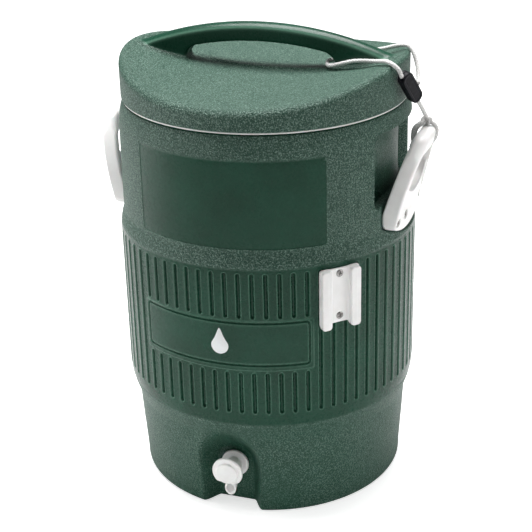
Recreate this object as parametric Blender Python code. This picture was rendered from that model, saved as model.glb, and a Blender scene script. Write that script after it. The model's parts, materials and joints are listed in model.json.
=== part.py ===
"""Insulated drinking-water jug: a round double-wall container with a lift-off lid, a push-button spigot,
two screwed side handles, a cup-holder bracket and a lid tether.

Every size below is in millimetres and is turned into metres when a mesh is made.
Origin: centre of the flat base. +Z is up, the spigot faces -Y, and the handles are at +X and -X.
Azimuths are degrees from the front (-Y) towards +X.
"""

from math import asin, cos, degrees, pi, radians, sin, sqrt

import bmesh
import bpy
from mathutils import Matrix, Vector

MM = 0.001

# ---- driving dimensions ----
GAP = 0.3
SHELL_WALL = 3.0
LINER_WALL = 2.5

SKIN_SEGMENTS = 72
CORE_SEGMENTS = 36

BASE_RADIUS = 143.0
BAND_RADIUS = 161.0
UPPER_RADIUS = 157.0
RIM_HEIGHT = 431.4
RIM_INNER_RADIUS = 147.5

GROOVE_PITCH = 5.0
GROOVE_WIDTH = 4.4
GROOVE_DEPTH = 3.6
GROOVE_BOTTOM = 131.0
GROOVE_TOP = 290.0
GROOVE_LIMIT_AZIMUTH = 35.0

LABEL_AZIMUTH = 32.5
LABEL_BOTTOM = 188.6
LABEL_TOP = 233.4
LABEL_DEPTH = 1.6
LABEL_FRAME_BOTTOM = 181.0
LABEL_FRAME_TOP = 237.4

PLATE_AZIMUTH = 38.5
PLATE_BOTTOM = 314.0
PLATE_TOP = 405.5
PLATE_DEPTH = 0.6

POCKET_AZIMUTH = 27.7
POCKET_RADIUS = 141.0
POCKET_BOTTOM = 335.0
POCKET_TOP = 414.5
POCKET_CORNER = 14.0
PAD_FACE = 142.7
PAD_HALF_WIDTH = 66.0
PAD_TOP = 345.0

RECESS_FLOOR = 126.5
RECESS_FLOOR_HALF_WIDTH = 21.0
RECESS_FLOOR_TOP = 70.0
RECESS_MOUTH = 165.0
RECESS_MOUTH_HALF_WIDTH = 46.0
RECESS_MOUTH_TOP = 112.0

LINER_FLOOR = 22.0
LINER_BOTTOM_RADIUS = 116.0
LINER_TOP_RADIUS = 131.0
LINER_TOP = 417.0
LIP_TOP = 432.0
LIP_THICKNESS = 2.7

LID_RADIUS = 152.6
LID_BOTTOM = 434.1
LID_WALL = 3.2
LID_VALLEY = 458.6
LID_PLUG_RADIUS = 129.3
LID_PLUG_BOTTOM = 412.0

BAR_HALF_WIDTH = 9.5
BAR_HALF_LENGTH = 141.0
BAR_TOP = 505.0
BAR_THICKNESS = 18.0
BAR_OPENING = (-84.0, 77.0)

SPIGOT_HEIGHT = 48.4
SHANK_RADIUS = 10.0
BARREL_RADIUS = 8.0
WATER_BORE_RADIUS = 5.5
STEM_RADIUS = 2.5
BUTTON_RADIUS = 17.0

HANDLE_HALF_WIDTH = 58.0
HANDLE_FOOT = 298.0
HANDLE_FOOT_RISE = 13.0
HANDLE_TOP = 402.0
HANDLE_BACK = PAD_FACE + GAP
HANDLE_BEND = 326.0
HANDLE_LEAN = 0.31
HANDLE_TAPER = 0.006
HANDLE_WEB = 3.0
HANDLE_ARM = 8.0
WINDOW_BOTTOM = 340.0
WINDOW_TOP = 382.0
SLOT_BOTTOM, SLOT_TOP = 362.0, 383.5
HANDLE_SCREWS = ((-51.0, 317.0), (51.0, 317.0), (-30.0, 319.0), (30.0, 319.0))
SCREW_SHANK_RADIUS = 2.0
SCREW_HEAD_RADIUS = 4.0
SCREW_LENGTH = 20.0

BRACKET_AZIMUTH = 44.5
BRACKET_HALF_WIDTH = 22.8
BRACKET_BACK = 161.6
BRACKET_PLATE = 2.4
BRACKET_BOTTOM = 225.0
BRACKET_TOP = 290.5
BRACKET_SCREWS = (236.9, 283.7)

CORD_RADIUS = 2.2
CLIP_AZIMUTH = 54.0


# ---- materials ----
def material(name, colour, roughness, metallic=0.0):
    made = bpy.data.materials.new(name)
    made.use_nodes = True
    shader = made.node_tree.nodes["Principled BSDF"]
    shader.inputs["Base Color"].default_value = (*colour, 1.0)
    shader.inputs["Roughness"].default_value = roughness
    shader.inputs["Metallic"].default_value = metallic
    made.diffuse_color = (*colour, 1.0)
    return made


def make_materials():
    return {
        "green": material("green_polyethylene", (0.016, 0.085, 0.052), 0.5),
        "white": material("white_polyethylene", (0.80, 0.79, 0.77), 0.42),
        "liner": material("liner_polyethylene", (0.84, 0.84, 0.82), 0.4),
        "foam": material("urethane_foam", (0.78, 0.66, 0.42), 0.95),
        "rubber": material("black_rubber", (0.02, 0.02, 0.022), 0.7),
        "steel": material("zinc_steel", (0.55, 0.55, 0.56), 0.35, 1.0),
        "cord": material("braided_cord", (0.74, 0.74, 0.73), 0.9),
        "clip": material("black_plastic", (0.014, 0.013, 0.016), 0.5),
    }


# ---- mesh helpers ----
def polar(radius, azimuth, z):
    angle = radians(azimuth)
    return Vector((radius * sin(angle), -radius * cos(angle), z))


def make_object(name, bm, finish=None, smooth=True):
    """Turns a bmesh in millimetres into an object in metres."""
    bmesh.ops.remove_doubles(bm, verts=bm.verts, dist=1e-3)
    bmesh.ops.recalc_face_normals(bm, faces=bm.faces)
    bmesh.ops.scale(bm, vec=(MM, MM, MM), verts=bm.verts)
    mesh = bpy.data.meshes.new(name)
    bm.to_mesh(mesh)
    bm.free()
    if smooth:
        mesh.shade_smooth()
        mesh.set_sharp_from_angle(angle=radians(30))
    made = bpy.data.objects.new(name, mesh)
    bpy.context.scene.collection.objects.link(made)
    if finish is not None:
        mesh.materials.append(finish)
    return made


def as_cutter(made):
    made.hide_render = True
    made.display_type = "WIRE"
    return made


def spin_profile(profile, segments, start=0.0):
    """Turned solid about Z from (radius, z) points; a profile that misses the axis is closed on itself."""
    bm = bmesh.new()
    verts = [bm.verts.new(polar(r, start, z)) for r, z in profile]
    edges = [bm.edges.new(pair) for pair in zip(verts, verts[1:])]
    if profile[0][0] > 0 or profile[-1][0] > 0:
        edges.append(bm.edges.new((verts[-1], verts[0])))
    bmesh.ops.spin(
        bm, geom=verts + edges, cent=(0, 0, 0), axis=(0, 0, 1), dvec=(0, 0, 0),
        angle=2 * pi, steps=segments, use_duplicate=False,
    )
    bmesh.ops.remove_doubles(bm, verts=bm.verts, dist=1e-3)
    return bm


def turned(name, profile, finish=None, segments=SKIN_SEGMENTS):
    return make_object(name, spin_profile(profile, segments), finish)


def loft(rings, closed=False):
    """Closed solid through equal rings of points. Ends are filled, or joined when closed."""
    bm = bmesh.new()
    rows = [[bm.verts.new(p) for p in ring] for ring in rings]
    pairs = list(zip(rows, rows[1:]))
    if closed:
        pairs.append((rows[-1], rows[0]))
    for low, high in pairs:
        for i in range(len(low)):
            j = (i + 1) % len(low)
            bm.faces.new((low[i], low[j], high[j], high[i]))
    if not closed:
        bm.faces.new(rows[0])
        bm.faces.new(rows[-1])
    return bm


def cylinder(name, radius, start, end, finish=None, segments=16):
    """Cylinder between two points."""
    return make_object(name, rod_bmesh(radius, start, end, segments), finish)


def rod_bmesh(radius, start, end, segments):
    start, end = Vector(start), Vector(end)
    frame = (end - start).to_track_quat("Z", "X").to_matrix()
    ring = [frame @ Vector((radius * cos(a), radius * sin(a), 0))
            for a in (2 * pi * (i + 0.5) / segments for i in range(segments))]
    return loft([[start + p for p in ring], [end + p for p in ring]])


def turned_along_y(name, profile, finish=None, segments=24):
    """Turned solid whose axis runs along Y at the spigot's height. The profile holds (radius, y) points."""
    bm = spin_profile([(r, -y) for r, y in profile], segments, start=180.0 / segments)
    turn = Matrix.Rotation(radians(90), 4, "X")
    bmesh.ops.transform(bm, matrix=Matrix.Translation((0, 0, SPIGOT_HEIGHT)) @ turn, verts=bm.verts)
    return make_object(name, bm, finish)


def tube_along(points, radius, sides=6, closed=False):
    """Round cord through the points, with a frame carried along so that it doesn't twist."""
    points = [Vector(p) for p in points]
    count = len(points)
    rings = []
    normal = None
    for i, p in enumerate(points):
        after = points[(i + 1) % count] if closed or i + 1 < count else p
        before = points[i - 1] if closed or i > 0 else p
        along = (after - before).normalized()
        if normal is None:
            normal = along.orthogonal().normalized()
        normal = (normal - along * normal.dot(along)).normalized()
        side = along.cross(normal)
        rings.append([p + radius * (cos(a) * normal + sin(a) * side)
                      for a in (2 * pi * k / sides for k in range(sides))])
    return loft(rings, closed)


def join_bmeshes(parts):
    """Several separate solids in one cutter mesh."""
    whole = bmesh.new()
    for part in parts:
        scratch = bpy.data.meshes.new("scratch")
        part.to_mesh(scratch)
        part.free()
        whole.from_mesh(scratch)
        bpy.data.meshes.remove(scratch)
    return whole


def boolean(target, cutter, operation="DIFFERENCE"):
    modifier = target.modifiers.new(cutter.name, "BOOLEAN")
    modifier.operation = operation
    modifier.object = cutter
    modifier.solver = "EXACT"
    if operation == "UNION":
        as_cutter(cutter)


# ---- body of the jug ----
def shell_profile():
    return [
        (0, 0), (BASE_RADIUS, 0), (146.4, 3.0), (147.5, 14.0), (150.4, 55.0), (152.8, 93.0),
        (155.6, 101.0), (158.3, 109.0), (160.4, 118.0), (BAND_RADIUS, 126.0), (BAND_RADIUS, 293.0),
        (160.4, 300.0), (158.6, 305.5), (UPPER_RADIUS, 310.0), (156.4, 404.0), (154.4, 420.0),
        (152.4, 428.0), (150.2, RIM_HEIGHT), (0, RIM_HEIGHT),
    ]


def cavity_profile(inset):
    """Inside of the shell, moved in by inset."""
    base = SHELL_WALL + inset
    return [
        (0, base), (139.0 - inset, base), (143.5 - inset, base + 5.0), (149.0 - inset, 90.0 + inset),
        (153.0 - inset, 112.0 + inset), (153.0 - inset, 395.0 - inset), (150.5 - inset, 417.0 - inset),
        (RIM_INNER_RADIUS - inset, 426.0 - inset),
    ]


def groove_cutters():
    """Flutes of the middle band; behind the label they are split into an upper and a lower run."""
    parts = []
    for index in range(SKIN_SEGMENTS):
        azimuth = (index + 0.5) * GROOVE_PITCH
        from_front = min(azimuth, 360.0 - azimuth)
        runs = [(GROOVE_BOTTOM, GROOVE_TOP)]
        if from_front < GROOVE_LIMIT_AZIMUTH:
            runs = [(GROOVE_BOTTOM, LABEL_FRAME_BOTTOM), (LABEL_FRAME_TOP, GROOVE_TOP)]
        half = degrees(asin(GROOVE_WIDTH / 2 / BAND_RADIUS))
        for low, high in runs:
            rings = [[polar(r, azimuth + s * half, z) for r, s in
                      ((BAND_RADIUS - GROOVE_DEPTH, -1), (BAND_RADIUS - GROOVE_DEPTH, 1),
                       (BAND_RADIUS + 4, 1), (BAND_RADIUS + 4, -1))] for z in (low, high)]
            parts.append(loft(rings))
    return as_cutter(make_object("groove_cutters", join_bmeshes(parts), smooth=False))


def sector(centre, half_azimuth, bottom, top, inner, outer, corner):
    """Curved slab with rounded corners, whose inner face follows a cylinder."""
    steps = int(half_azimuth // GROOVE_PITCH)
    inside = [k * GROOVE_PITCH for k in range(-steps, steps + 1)]
    corner_angle = degrees(corner / inner)
    ends = [half_azimuth - corner_angle * (1 - cos(radians(a))) for a in (0, 45, 70)]
    offsets = sorted({round(a, 4) for a in inside if abs(a) < ends[-1] - 0.8}
                     | {round(e, 4) for e in ends} | {round(-e, 4) for e in ends})
    columns = []
    for offset in offsets:
        reach = max(0.0, abs(offset) - (half_azimuth - corner_angle)) / corner_angle
        drop = corner * (1 - sqrt(max(0.0, 1 - reach * reach)))
        columns.append((centre + offset, bottom + drop, top - drop))
    return loft([[polar(inner, a, low), polar(outer, a, low), polar(outer, a, high), polar(inner, a, high)]
                 for a, low, high in columns])


def pocket_cutters(name, grow):
    """Both handle pockets, grown by the wall thickness for the inside of the shell."""
    grow_angle = degrees(grow / POCKET_RADIUS)
    parts = [sector(side, POCKET_AZIMUTH + grow_angle, POCKET_BOTTOM - grow, POCKET_TOP + grow,
                    POCKET_RADIUS - grow, BAND_RADIUS + 9, POCKET_CORNER) for side in (90.0, -90.0)]
    return as_cutter(make_object(name, join_bmeshes(parts), smooth=False))


def foot_height(y):
    """Arched lower edge of a handle."""
    return HANDLE_FOOT + HANDLE_FOOT_RISE * (abs(y) / HANDLE_HALF_WIDTH) ** 2.2


def pad_cutters(name, grow):
    """Flat seats of both handles, below the pockets."""
    half = PAD_HALF_WIDTH + grow
    outline = [(half * k / 6, foot_height(half * k / 6) - 1.0 - grow) for k in range(-6, 7)]
    outline += [(half, PAD_TOP + grow), (-half, PAD_TOP + grow)]
    depths = (PAD_FACE - grow, BAND_RADIUS + 9)
    parts = [loft([[Vector((side * x, y, z)) for y, z in outline] for x in depths]) for side in (1, -1)]
    return as_cutter(make_object(name, join_bmeshes(parts), smooth=False))


def recess_cutter(name, grow):
    """Arch-topped scoop round the spigot, open at the foot of the jug."""
    rings = []
    for y, half, top in ((RECESS_FLOOR - grow, RECESS_FLOOR_HALF_WIDTH + grow, RECESS_FLOOR_TOP + grow),
                         (RECESS_MOUTH, RECESS_MOUTH_HALF_WIDTH + grow, RECESS_MOUTH_TOP + grow)):
        arch = [(-half, -12.0)]
        arch += [(-half * cos(radians(a)), top - half + half * sin(radians(a))) for a in range(0, 181, 15)]
        arch += [(half, -12.0)]
        rings.append([Vector((x, -y, z)) for x, z in arch])
    return as_cutter(make_object(name, loft(rings), smooth=False))


def screw_seat(y, z):
    """Distance from the centre plane of a handle screw's seat, sunk below the handle's face."""
    return handle_outer(y, z) - 3.0


def stepped_bore(seat, outward, reach):
    """Clearance hole inwards from a screw's seat and a counterbore outwards."""
    frame = outward.to_track_quat("Z", "X").to_matrix()
    narrow, wide = SCREW_SHANK_RADIUS + GAP, SCREW_HEAD_RADIUS + 0.8
    rings = []
    for radius, along in ((narrow, -reach), (narrow, 0.0), (wide, 0.0), (wide, reach)):
        rings.append([seat + frame @ Vector((radius * cos(a), radius * sin(a), along))
                      for a in (2 * pi * (k + 0.5) / 10 for k in range(10))])
    return loft(rings)


def screw_sites():
    """(name, point on the axis, outward direction, seat distance, reach) of every screw into the body."""
    sites = []
    for side, sign in (("right", 1), ("left", -1)):
        for number, (y, z) in enumerate(HANDLE_SCREWS, 1):
            sites.append((f"handle_screw_{side}_{number}", Vector((0, y, z)), Vector((sign, 0, 0)),
                          screw_seat(y, z), SCREW_LENGTH))
    outward = polar(1.0, BRACKET_AZIMUTH, 0.0)
    for where, z in zip(("bottom", "top"), BRACKET_SCREWS):
        sites.append((f"bracket_screw_{where}", Vector((0, 0, z)), outward, BRACKET_BACK + BRACKET_PLATE,
                      SCREW_LENGTH))
    return sites


def screw_holes():
    radius = SCREW_SHANK_RADIUS + GAP
    parts = [rod_bmesh(radius, at + out * (seat - length - 1.0), at + out * (seat + 20), 8)
             for _, at, out, seat, length in screw_sites()]
    return as_cutter(make_object("screw_holes", join_bmeshes(parts), smooth=False))


def wall_bore():
    front = (0, -RECESS_FLOOR - 30, SPIGOT_HEIGHT)
    back = (0, -90, SPIGOT_HEIGHT)
    return as_cutter(cylinder("wall_bore", SHANK_RADIUS + GAP, front, back, segments=24))


def liner_outer_profile(grow):
    out = LINER_WALL + grow
    return [(0, LINER_FLOOR - out), (LINER_BOTTOM_RADIUS - 4, LINER_FLOOR - out),
            (LINER_BOTTOM_RADIUS + out, LINER_FLOOR + 4 - grow), (LINER_TOP_RADIUS + out, LINER_TOP - 6),
            (LINER_TOP_RADIUS + 2 + out, LIP_TOP - LIP_THICKNESS - grow)]


def make_body(looks):
    pockets = pocket_cutters("pocket_cutters", 0.0)
    recess = recess_cutter("recess_cutter", 0.0)
    holes = screw_holes()
    bore = wall_bore()
    label = as_cutter(make_object(
        "label_cutter", sector(0, LABEL_AZIMUTH, LABEL_BOTTOM, LABEL_TOP, BAND_RADIUS - LABEL_DEPTH,
                               BAND_RADIUS + 6, 5.0), smooth=False))
    plate = as_cutter(make_object(
        "plate_cutter", sector(0, PLATE_AZIMUTH, PLATE_BOTTOM, PLATE_TOP, UPPER_RADIUS - PLATE_DEPTH - 0.3,
                               BAND_RADIUS + 6, 6.0), smooth=False))

    cavity = as_cutter(make_object("shell_cavity", spin_profile(
        cavity_profile(0.0) + [(RIM_INNER_RADIUS, RIM_HEIGHT + 9), (0, RIM_HEIGHT + 9)], CORE_SEGMENTS)))
    boolean(cavity, pocket_cutters("pocket_walls", SHELL_WALL))
    boolean(cavity, pad_cutters("pad_walls", SHELL_WALL))
    boolean(cavity, recess_cutter("recess_walls", SHELL_WALL))

    shell = turned("outer_shell", shell_profile(), looks["green"])
    pads = pad_cutters("pad_cutters", 0.0)
    for cutter in (pockets, pads, recess, groove_cutters(), label, plate, cavity, bore, holes):
        boolean(shell, cutter)

    foam_top = LIP_TOP - LIP_THICKNESS - GAP - 0.5
    foam_profile = cavity_profile(GAP) + [(RIM_INNER_RADIUS - GAP, foam_top), (0, foam_top)]
    foam = turned("foam_insulation", foam_profile, looks["foam"], CORE_SEGMENTS)
    mouth = [(LINER_TOP_RADIUS + 5 + LINER_WALL, RIM_HEIGHT + 9), (0, RIM_HEIGHT + 9)]
    core = as_cutter(make_object(
        "liner_space", spin_profile(liner_outer_profile(GAP) + mouth, CORE_SEGMENTS)))
    pad_back = RECESS_FLOOR - SHELL_WALL - 3.0
    boss_space = as_cutter(cylinder(
        "boss_space", 21.0, (0, -pad_back - GAP, SPIGOT_HEIGHT), (0, -100, SPIGOT_HEIGHT), segments=24))
    for cutter in (pocket_cutters("pocket_clearance", SHELL_WALL + GAP),
                   pad_cutters("pad_clearance", SHELL_WALL + GAP),
                   recess_cutter("recess_clearance", SHELL_WALL + GAP), core, boss_space, bore, holes):
        boolean(foam, cutter)

    inner = [(RIM_INNER_RADIUS - GAP, LIP_TOP - LIP_THICKNESS), (RIM_INNER_RADIUS - GAP, LIP_TOP),
             (LINER_TOP_RADIUS + 3.0, LIP_TOP), (LINER_TOP_RADIUS, LINER_TOP),
             (LINER_BOTTOM_RADIUS, LINER_FLOOR + 5), (LINER_BOTTOM_RADIUS - 4.5, LINER_FLOOR),
             (0, LINER_FLOOR)]
    liner = turned("inner_liner", liner_outer_profile(0.0) + inner, looks["liner"], CORE_SEGMENTS)
    boss = cylinder("spigot_boss", 20.5, (0, -pad_back, SPIGOT_HEIGHT), (0, -114.0, SPIGOT_HEIGHT),
                    segments=24)
    boolean(liner, boss, "UNION")
    spotface = as_cutter(cylinder(
        "boss_face", 20.3, (0, -114.0, SPIGOT_HEIGHT), (0, -95.0, SPIGOT_HEIGHT), segments=24))
    boolean(liner, spotface)
    boolean(liner, bore)
    return bore


# ---- lid ----
def lid_height(x, y, drop=0.0):
    """Saddle-shaped top: low along the middle, high towards the handle ends, crowned from front to back."""
    rise = 4.87e-4 * x * x + 2.1e-8 * x ** 4
    crown = 2.0e-4 * y * y
    return LID_VALLEY + rise - crown - drop


def lid_solid(wall_radius, bottom, drop, segments):
    """Solid under the lid's top surface, from its side wall inwards."""
    bm = bmesh.new()
    edge = 5.0
    rows = []
    fractions = [1.0, 0.82, 0.62, 0.42, 0.22]
    for index in range(segments):
        azimuth = 360.0 * index / segments
        rim = polar(wall_radius - edge, azimuth, 0)
        rim_z = lid_height(rim.x, rim.y, drop)
        shoulder = polar(wall_radius - 0.3 * edge, azimuth, rim_z - 0.3 * edge)
        wall_top = polar(wall_radius, azimuth, rim_z - edge)
        column = [polar(wall_radius, azimuth, bottom), wall_top, shoulder]
        for fraction in fractions:
            p = rim * fraction
            column.append(Vector((p.x, p.y, lid_height(p.x, p.y, drop))))
        rows.append([bm.verts.new(v) for v in column])
    top = bm.verts.new((0, 0, lid_height(0, 0, drop)))
    for i in range(segments):
        a, b = rows[i], rows[(i + 1) % segments]
        for k in range(len(a) - 1):
            bm.faces.new((a[k], b[k], b[k + 1], a[k + 1]))
        bm.faces.new((a[-1], b[-1], top))
    bm.faces.new([row[0] for row in rows])
    return bm


def bar_profile():
    """Side view of the arched lid handle: an arc on top, and the lid's own surface below."""
    sag = BAR_TOP - 477.0
    radius = (BAR_HALF_LENGTH ** 2 + sag ** 2) / (2 * sag)
    spread = asin(BAR_HALF_LENGTH / radius)
    steps = 14
    over = [(radius * sin(a), BAR_TOP - radius + radius * cos(a))
            for a in (spread * (2 * k / steps - 1) for k in range(steps + 1))]
    under = [(BAR_HALF_LENGTH, 466.0), (100.0, 458.0), (0.0, 452.0), (-100.0, 458.0),
             (-BAR_HALF_LENGTH, 466.0)]
    return over + under


def bar_opening():
    """Hand opening under the arched handle."""
    left, right = BAR_OPENING
    centre = (left + right) / 2
    half = (right - left) / 2
    top = BAR_TOP - BAR_THICKNESS
    points = [(left, LID_VALLEY + 4.5), (centre, LID_VALLEY + 1.0), (right, LID_VALLEY + 4.5)]
    points += [(centre + half * cos(a), LID_VALLEY + 4.5 + (top - LID_VALLEY - 4.5) * sin(a) ** 0.8)
               for a in (pi * k / 12 for k in range(1, 12))]
    return points


def extrude_across(outline, half_width):
    """Prism along Y from (x, z) points."""
    return loft([[Vector((x, y, z)) for x, z in outline] for y in (-half_width, half_width)])


def make_lid(looks):
    shell = make_object("lid_shell", lid_solid(LID_RADIUS, LID_BOTTOM, 0.0, SKIN_SEGMENTS), looks["green"])
    bar = make_object("lid_bar", extrude_across(bar_profile(), BAR_HALF_WIDTH))
    bevel = bar.modifiers.new("edges", "BEVEL")
    bevel.width = 2.5 * MM
    bevel.segments = 2
    bevel.limit_method = "ANGLE"
    bevel.angle_limit = radians(60)
    boolean(bar, as_cutter(make_object("bar_opening", extrude_across(bar_opening(), 20.0), smooth=False)))
    boolean(shell, bar, "UNION")
    hollow = lid_solid(LID_RADIUS - LID_WALL, LID_BOTTOM - 9, LID_WALL, CORE_SEGMENTS)
    boolean(shell, as_cutter(make_object("lid_hollow", hollow)))

    flange_top = LID_BOTTOM - GAP
    flange_bottom = LIP_TOP + GAP
    plug_floor = LID_PLUG_BOTTOM + 2.5
    plug, rim = LID_PLUG_RADIUS, LID_RADIUS - 0.5
    tray = [(0, LID_PLUG_BOTTOM), (plug - 4, LID_PLUG_BOTTOM), (plug - 1, LID_PLUG_BOTTOM + 4),
            (plug, flange_bottom - 3), (plug + 3, flange_bottom), (rim, flange_bottom), (rim, flange_top),
            (plug + 1.5, flange_top), (plug - 2.5, flange_bottom - 3), (plug - 3.5, plug_floor + 2),
            (plug - 6, plug_floor), (0, plug_floor)]
    turned("lid_liner", tray, looks["liner"], CORE_SEGMENTS)

    foam = make_object("lid_foam", lid_solid(
        LID_RADIUS - LID_WALL - 1.0, LID_BOTTOM + GAP, LID_WALL + 1.2, CORE_SEGMENTS), looks["foam"])
    plug_top = LID_BOTTOM + 6
    core = turned("lid_foam_plug", [
        (0, plug_floor + GAP), (plug - 6.5, plug_floor + GAP), (plug - 4.2, plug_floor + 2.5),
        (plug - 3.2, flange_bottom - 3), (plug - 1.0, plug_top), (0, plug_top)], None, CORE_SEGMENTS)
    boolean(foam, core, "UNION")


# ---- spigot ----
def make_spigot(looks, bore):
    """Push-button tap: a threaded shank through the wall, held by a nut, with a sprung stem and seal."""
    face = -RECESS_FLOOR - GAP
    gasket_front = face - 1.2
    flange_back = gasket_front - GAP
    flange_front = flange_back - 2.6
    barrel_front = -148.5
    web_front, web_back = -139.0, -136.5
    shank_end = -100.0
    turned_along_y("spigot_gasket", [(SHANK_RADIUS + GAP, face), (13.0, face), (13.0, gasket_front),
                                     (SHANK_RADIUS + GAP, gasket_front)], looks["rubber"], 20)
    body = turned_along_y("spigot_body", [
        (WATER_BORE_RADIUS, shank_end), (SHANK_RADIUS, shank_end), (SHANK_RADIUS, flange_back),
        (15.4, flange_back), (15.4, flange_front), (BARREL_RADIUS, flange_front),
        (BARREL_RADIUS, barrel_front),
        (WATER_BORE_RADIUS, barrel_front), (WATER_BORE_RADIUS, web_front), (STEM_RADIUS + GAP, web_front),
        (STEM_RADIUS + GAP, web_back), (WATER_BORE_RADIUS, web_back)], looks["white"], 20)
    root = Vector((0, -135.6, SPIGOT_HEIGHT - 3.0))
    tip = Vector((0, -147.0, 12.0))
    along = (tip - root).normalized()
    spout = cylinder("spout", 6.4, root, tip, segments=16)
    keep_clear = as_cutter(cylinder("barrel_space", WATER_BORE_RADIUS, (0, -152, SPIGOT_HEIGHT),
                                    (0, -110, SPIGOT_HEIGHT), segments=20))
    boolean(spout, keep_clear)
    boolean(body, spout, "UNION")
    channel = cylinder("spout_bore", 4.4, root + along * 1.5, tip + along * 10, segments=12)
    boolean(body, as_cutter(channel))
    front_cut = make_object("spout_face", extrude_across([(-20, 0), (20, 0), (20, 33), (-20, 33)], 10.0))
    front_cut.location.y = -154.0 * MM
    boolean(body, as_cutter(front_cut))

    nut_front = -111.0
    turned_along_y("spigot_washer", [(SHANK_RADIUS + GAP, -113.7), (16.0, -113.7), (16.0, -111.4),
                                     (SHANK_RADIUS + GAP, -111.4)], looks["rubber"], 20)
    nut = cylinder("spigot_nut", 17.5, (0, nut_front, SPIGOT_HEIGHT), (0, nut_front + 7.0, SPIGOT_HEIGHT),
                   looks["white"], 6)
    boolean(nut, bore)

    back, front = -152.5, -158.0
    outline = []
    flat = -12.8
    reach = asin(-flat / BUTTON_RADIUS)
    for k in range(19):
        angle = -reach + (pi + 2 * reach) * k / 18
        outline.append((BUTTON_RADIUS * cos(angle), 51.2 + BUTTON_RADIUS * sin(angle)))
    disc = loft([[Vector((x, y, z)) for x, z in outline] for y in (back, front)])
    button = make_object("spigot_button", disc, looks["white"])
    boss_end = -145.5
    boss = turned_along_y("button_boss", [(0, back - 2), (3.9, back - 2), (3.9, boss_end), (0, boss_end)],
                          None, 16)
    boolean(button, boss, "UNION")
    reach = STEM_RADIUS + GAP
    socket = turned_along_y("stem_socket", [(0, -154.5), (reach, -154.5), (reach, -140), (0, -140)],
                            None, 12)
    boolean(button, as_cutter(socket))
    turned_along_y("spigot_stem", [(0, -154.2), (STEM_RADIUS, -154.2), (STEM_RADIUS, -96.6), (0, -96.6)],
                   looks["white"], 12)
    turned_along_y("spigot_seal", [(STEM_RADIUS + GAP, -99.7), (8.5, -99.7), (8.5, -96.6),
                                   (STEM_RADIUS + GAP, -96.6)], looks["rubber"], 16)

    turns, per_turn = 5, 12
    start, end = -152.0, -139.6
    coil = []
    for k in range(turns * per_turn + 1):
        angle = 2 * pi * k / per_turn
        y = start + (end - start) * k / (turns * per_turn)
        coil.append(Vector((4.7 * cos(angle), y, SPIGOT_HEIGHT + 4.7 * sin(angle))))
    make_object("spigot_spring", tube_along(coil, 0.4, 5), looks["steel"])


# ---- handles ----
def handle_outer(y, z):
    """Outward face of a handle: crowned across its width and leaning out towards the grip."""
    share = min(1.0, max(0.0, (z - 311.0) / 80.0))
    crown = 4.9 + 1.3 * share
    return 157.0 + 0.22 * (z - 311.0) + crown * (1 - (y / HANDLE_HALF_WIDTH) ** 2)


def handle_inner(z):
    """Face towards the jug: flat on its seat at the foot, leaning out above."""
    return HANDLE_BACK + HANDLE_LEAN * max(0.0, z - HANDLE_BEND)


def handle_half_width(z):
    """Straight at the foot, then arching in towards the grip."""
    return HANDLE_HALF_WIDTH - HANDLE_TAPER * max(0.0, z - HANDLE_BEND) ** 2


def handle_crest(y):
    """Top of the handle at one y, following its arched outline."""
    return min(HANDLE_TOP, HANDLE_BEND + sqrt((HANDLE_HALF_WIDTH - abs(y)) / HANDLE_TAPER))


def handle_section(y):
    """Outline of the handle across its width at one y, as (x, z) points."""
    low, top = foot_height(y), handle_crest(y)
    edge = 1.6
    shoulder = 7.5 if top > SLOT_TOP else 3.0
    levels = [low + edge + (top - shoulder - low - edge) * share for share in (0.0, 0.2, 0.4, 0.6, 0.8, 1.0)]
    outer = [(handle_outer(y, low) - edge, low)] + [(handle_outer(y, z), z) for z in levels]
    outer += [(handle_outer(y, top) - 0.3 * shoulder, top - 0.3 * shoulder),
              (handle_outer(y, top) - shoulder, top), (handle_inner(top) + edge, top)]
    backs = (top - edge, top + (low - top) * 0.35, top + (low - top) * 0.7, low)
    inner = [(handle_inner(z), z) for z in backs]
    return outer + inner


def arch_opening(bottom, top, sill_rise, corner):
    """Hand opening inside the arms: an arched sill, sides that follow the outline and a level top."""
    foot = handle_half_width(bottom + sill_rise) - HANDLE_ARM
    shares = [k / 8 for k in range(-8, 9)]
    sill = [(foot * share, bottom + sill_rise * abs(share) ** 2.4) for share in shares]
    rise = top - corner - bottom - sill_rise
    sides = [(handle_half_width(z) - HANDLE_ARM, z)
             for z in (bottom + sill_rise + 0.5 * rise, bottom + sill_rise + rise)]
    sides.append((handle_half_width(top) - HANDLE_ARM - corner, top))
    return sill + sides + [(-y, z) for y, z in reversed(sides)]


def make_handle(name, sign, looks):
    halves = (58.0, 55.5, 51.0, 46.0, 41.0, 35.0, 29.0, 23.0, 12.0)
    stations = [-y for y in halves] + [0.0] + list(reversed(halves))
    block = loft([[Vector((sign * x, y, z)) for x, z in handle_section(y)] for y in stations])
    handle = make_object(name, block, looks["white"])
    outside = BAND_RADIUS + 40.0
    window = arch_opening(WINDOW_BOTTOM, WINDOW_TOP, 15.0, 4.0)
    floor = [Vector((sign * (handle_inner(z) + HANDLE_WEB), y, z)) for y, z in window]
    mouth = [Vector((sign * outside, y, z)) for y, z in window]
    boolean(handle, as_cutter(make_object(name + "_window", loft([floor, mouth]), smooth=False)))
    slot = arch_opening(SLOT_BOTTOM, SLOT_TOP, 1.0, 3.0)
    through = loft([[Vector((sign * x, y, z)) for y, z in slot] for x in (BASE_RADIUS - 8.0, outside)])
    boolean(handle, as_cutter(make_object(name + "_slot", through, smooth=False)))
    seats = []
    for y, z in HANDLE_SCREWS:
        at, here = Vector((0, y, z)), Vector((sign, 0, 0))
        seats.append(stepped_bore(at + here * screw_seat(y, z), here, 25.0))
    boolean(handle, as_cutter(make_object(name + "_holes", join_bmeshes(seats), smooth=False)))


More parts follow.
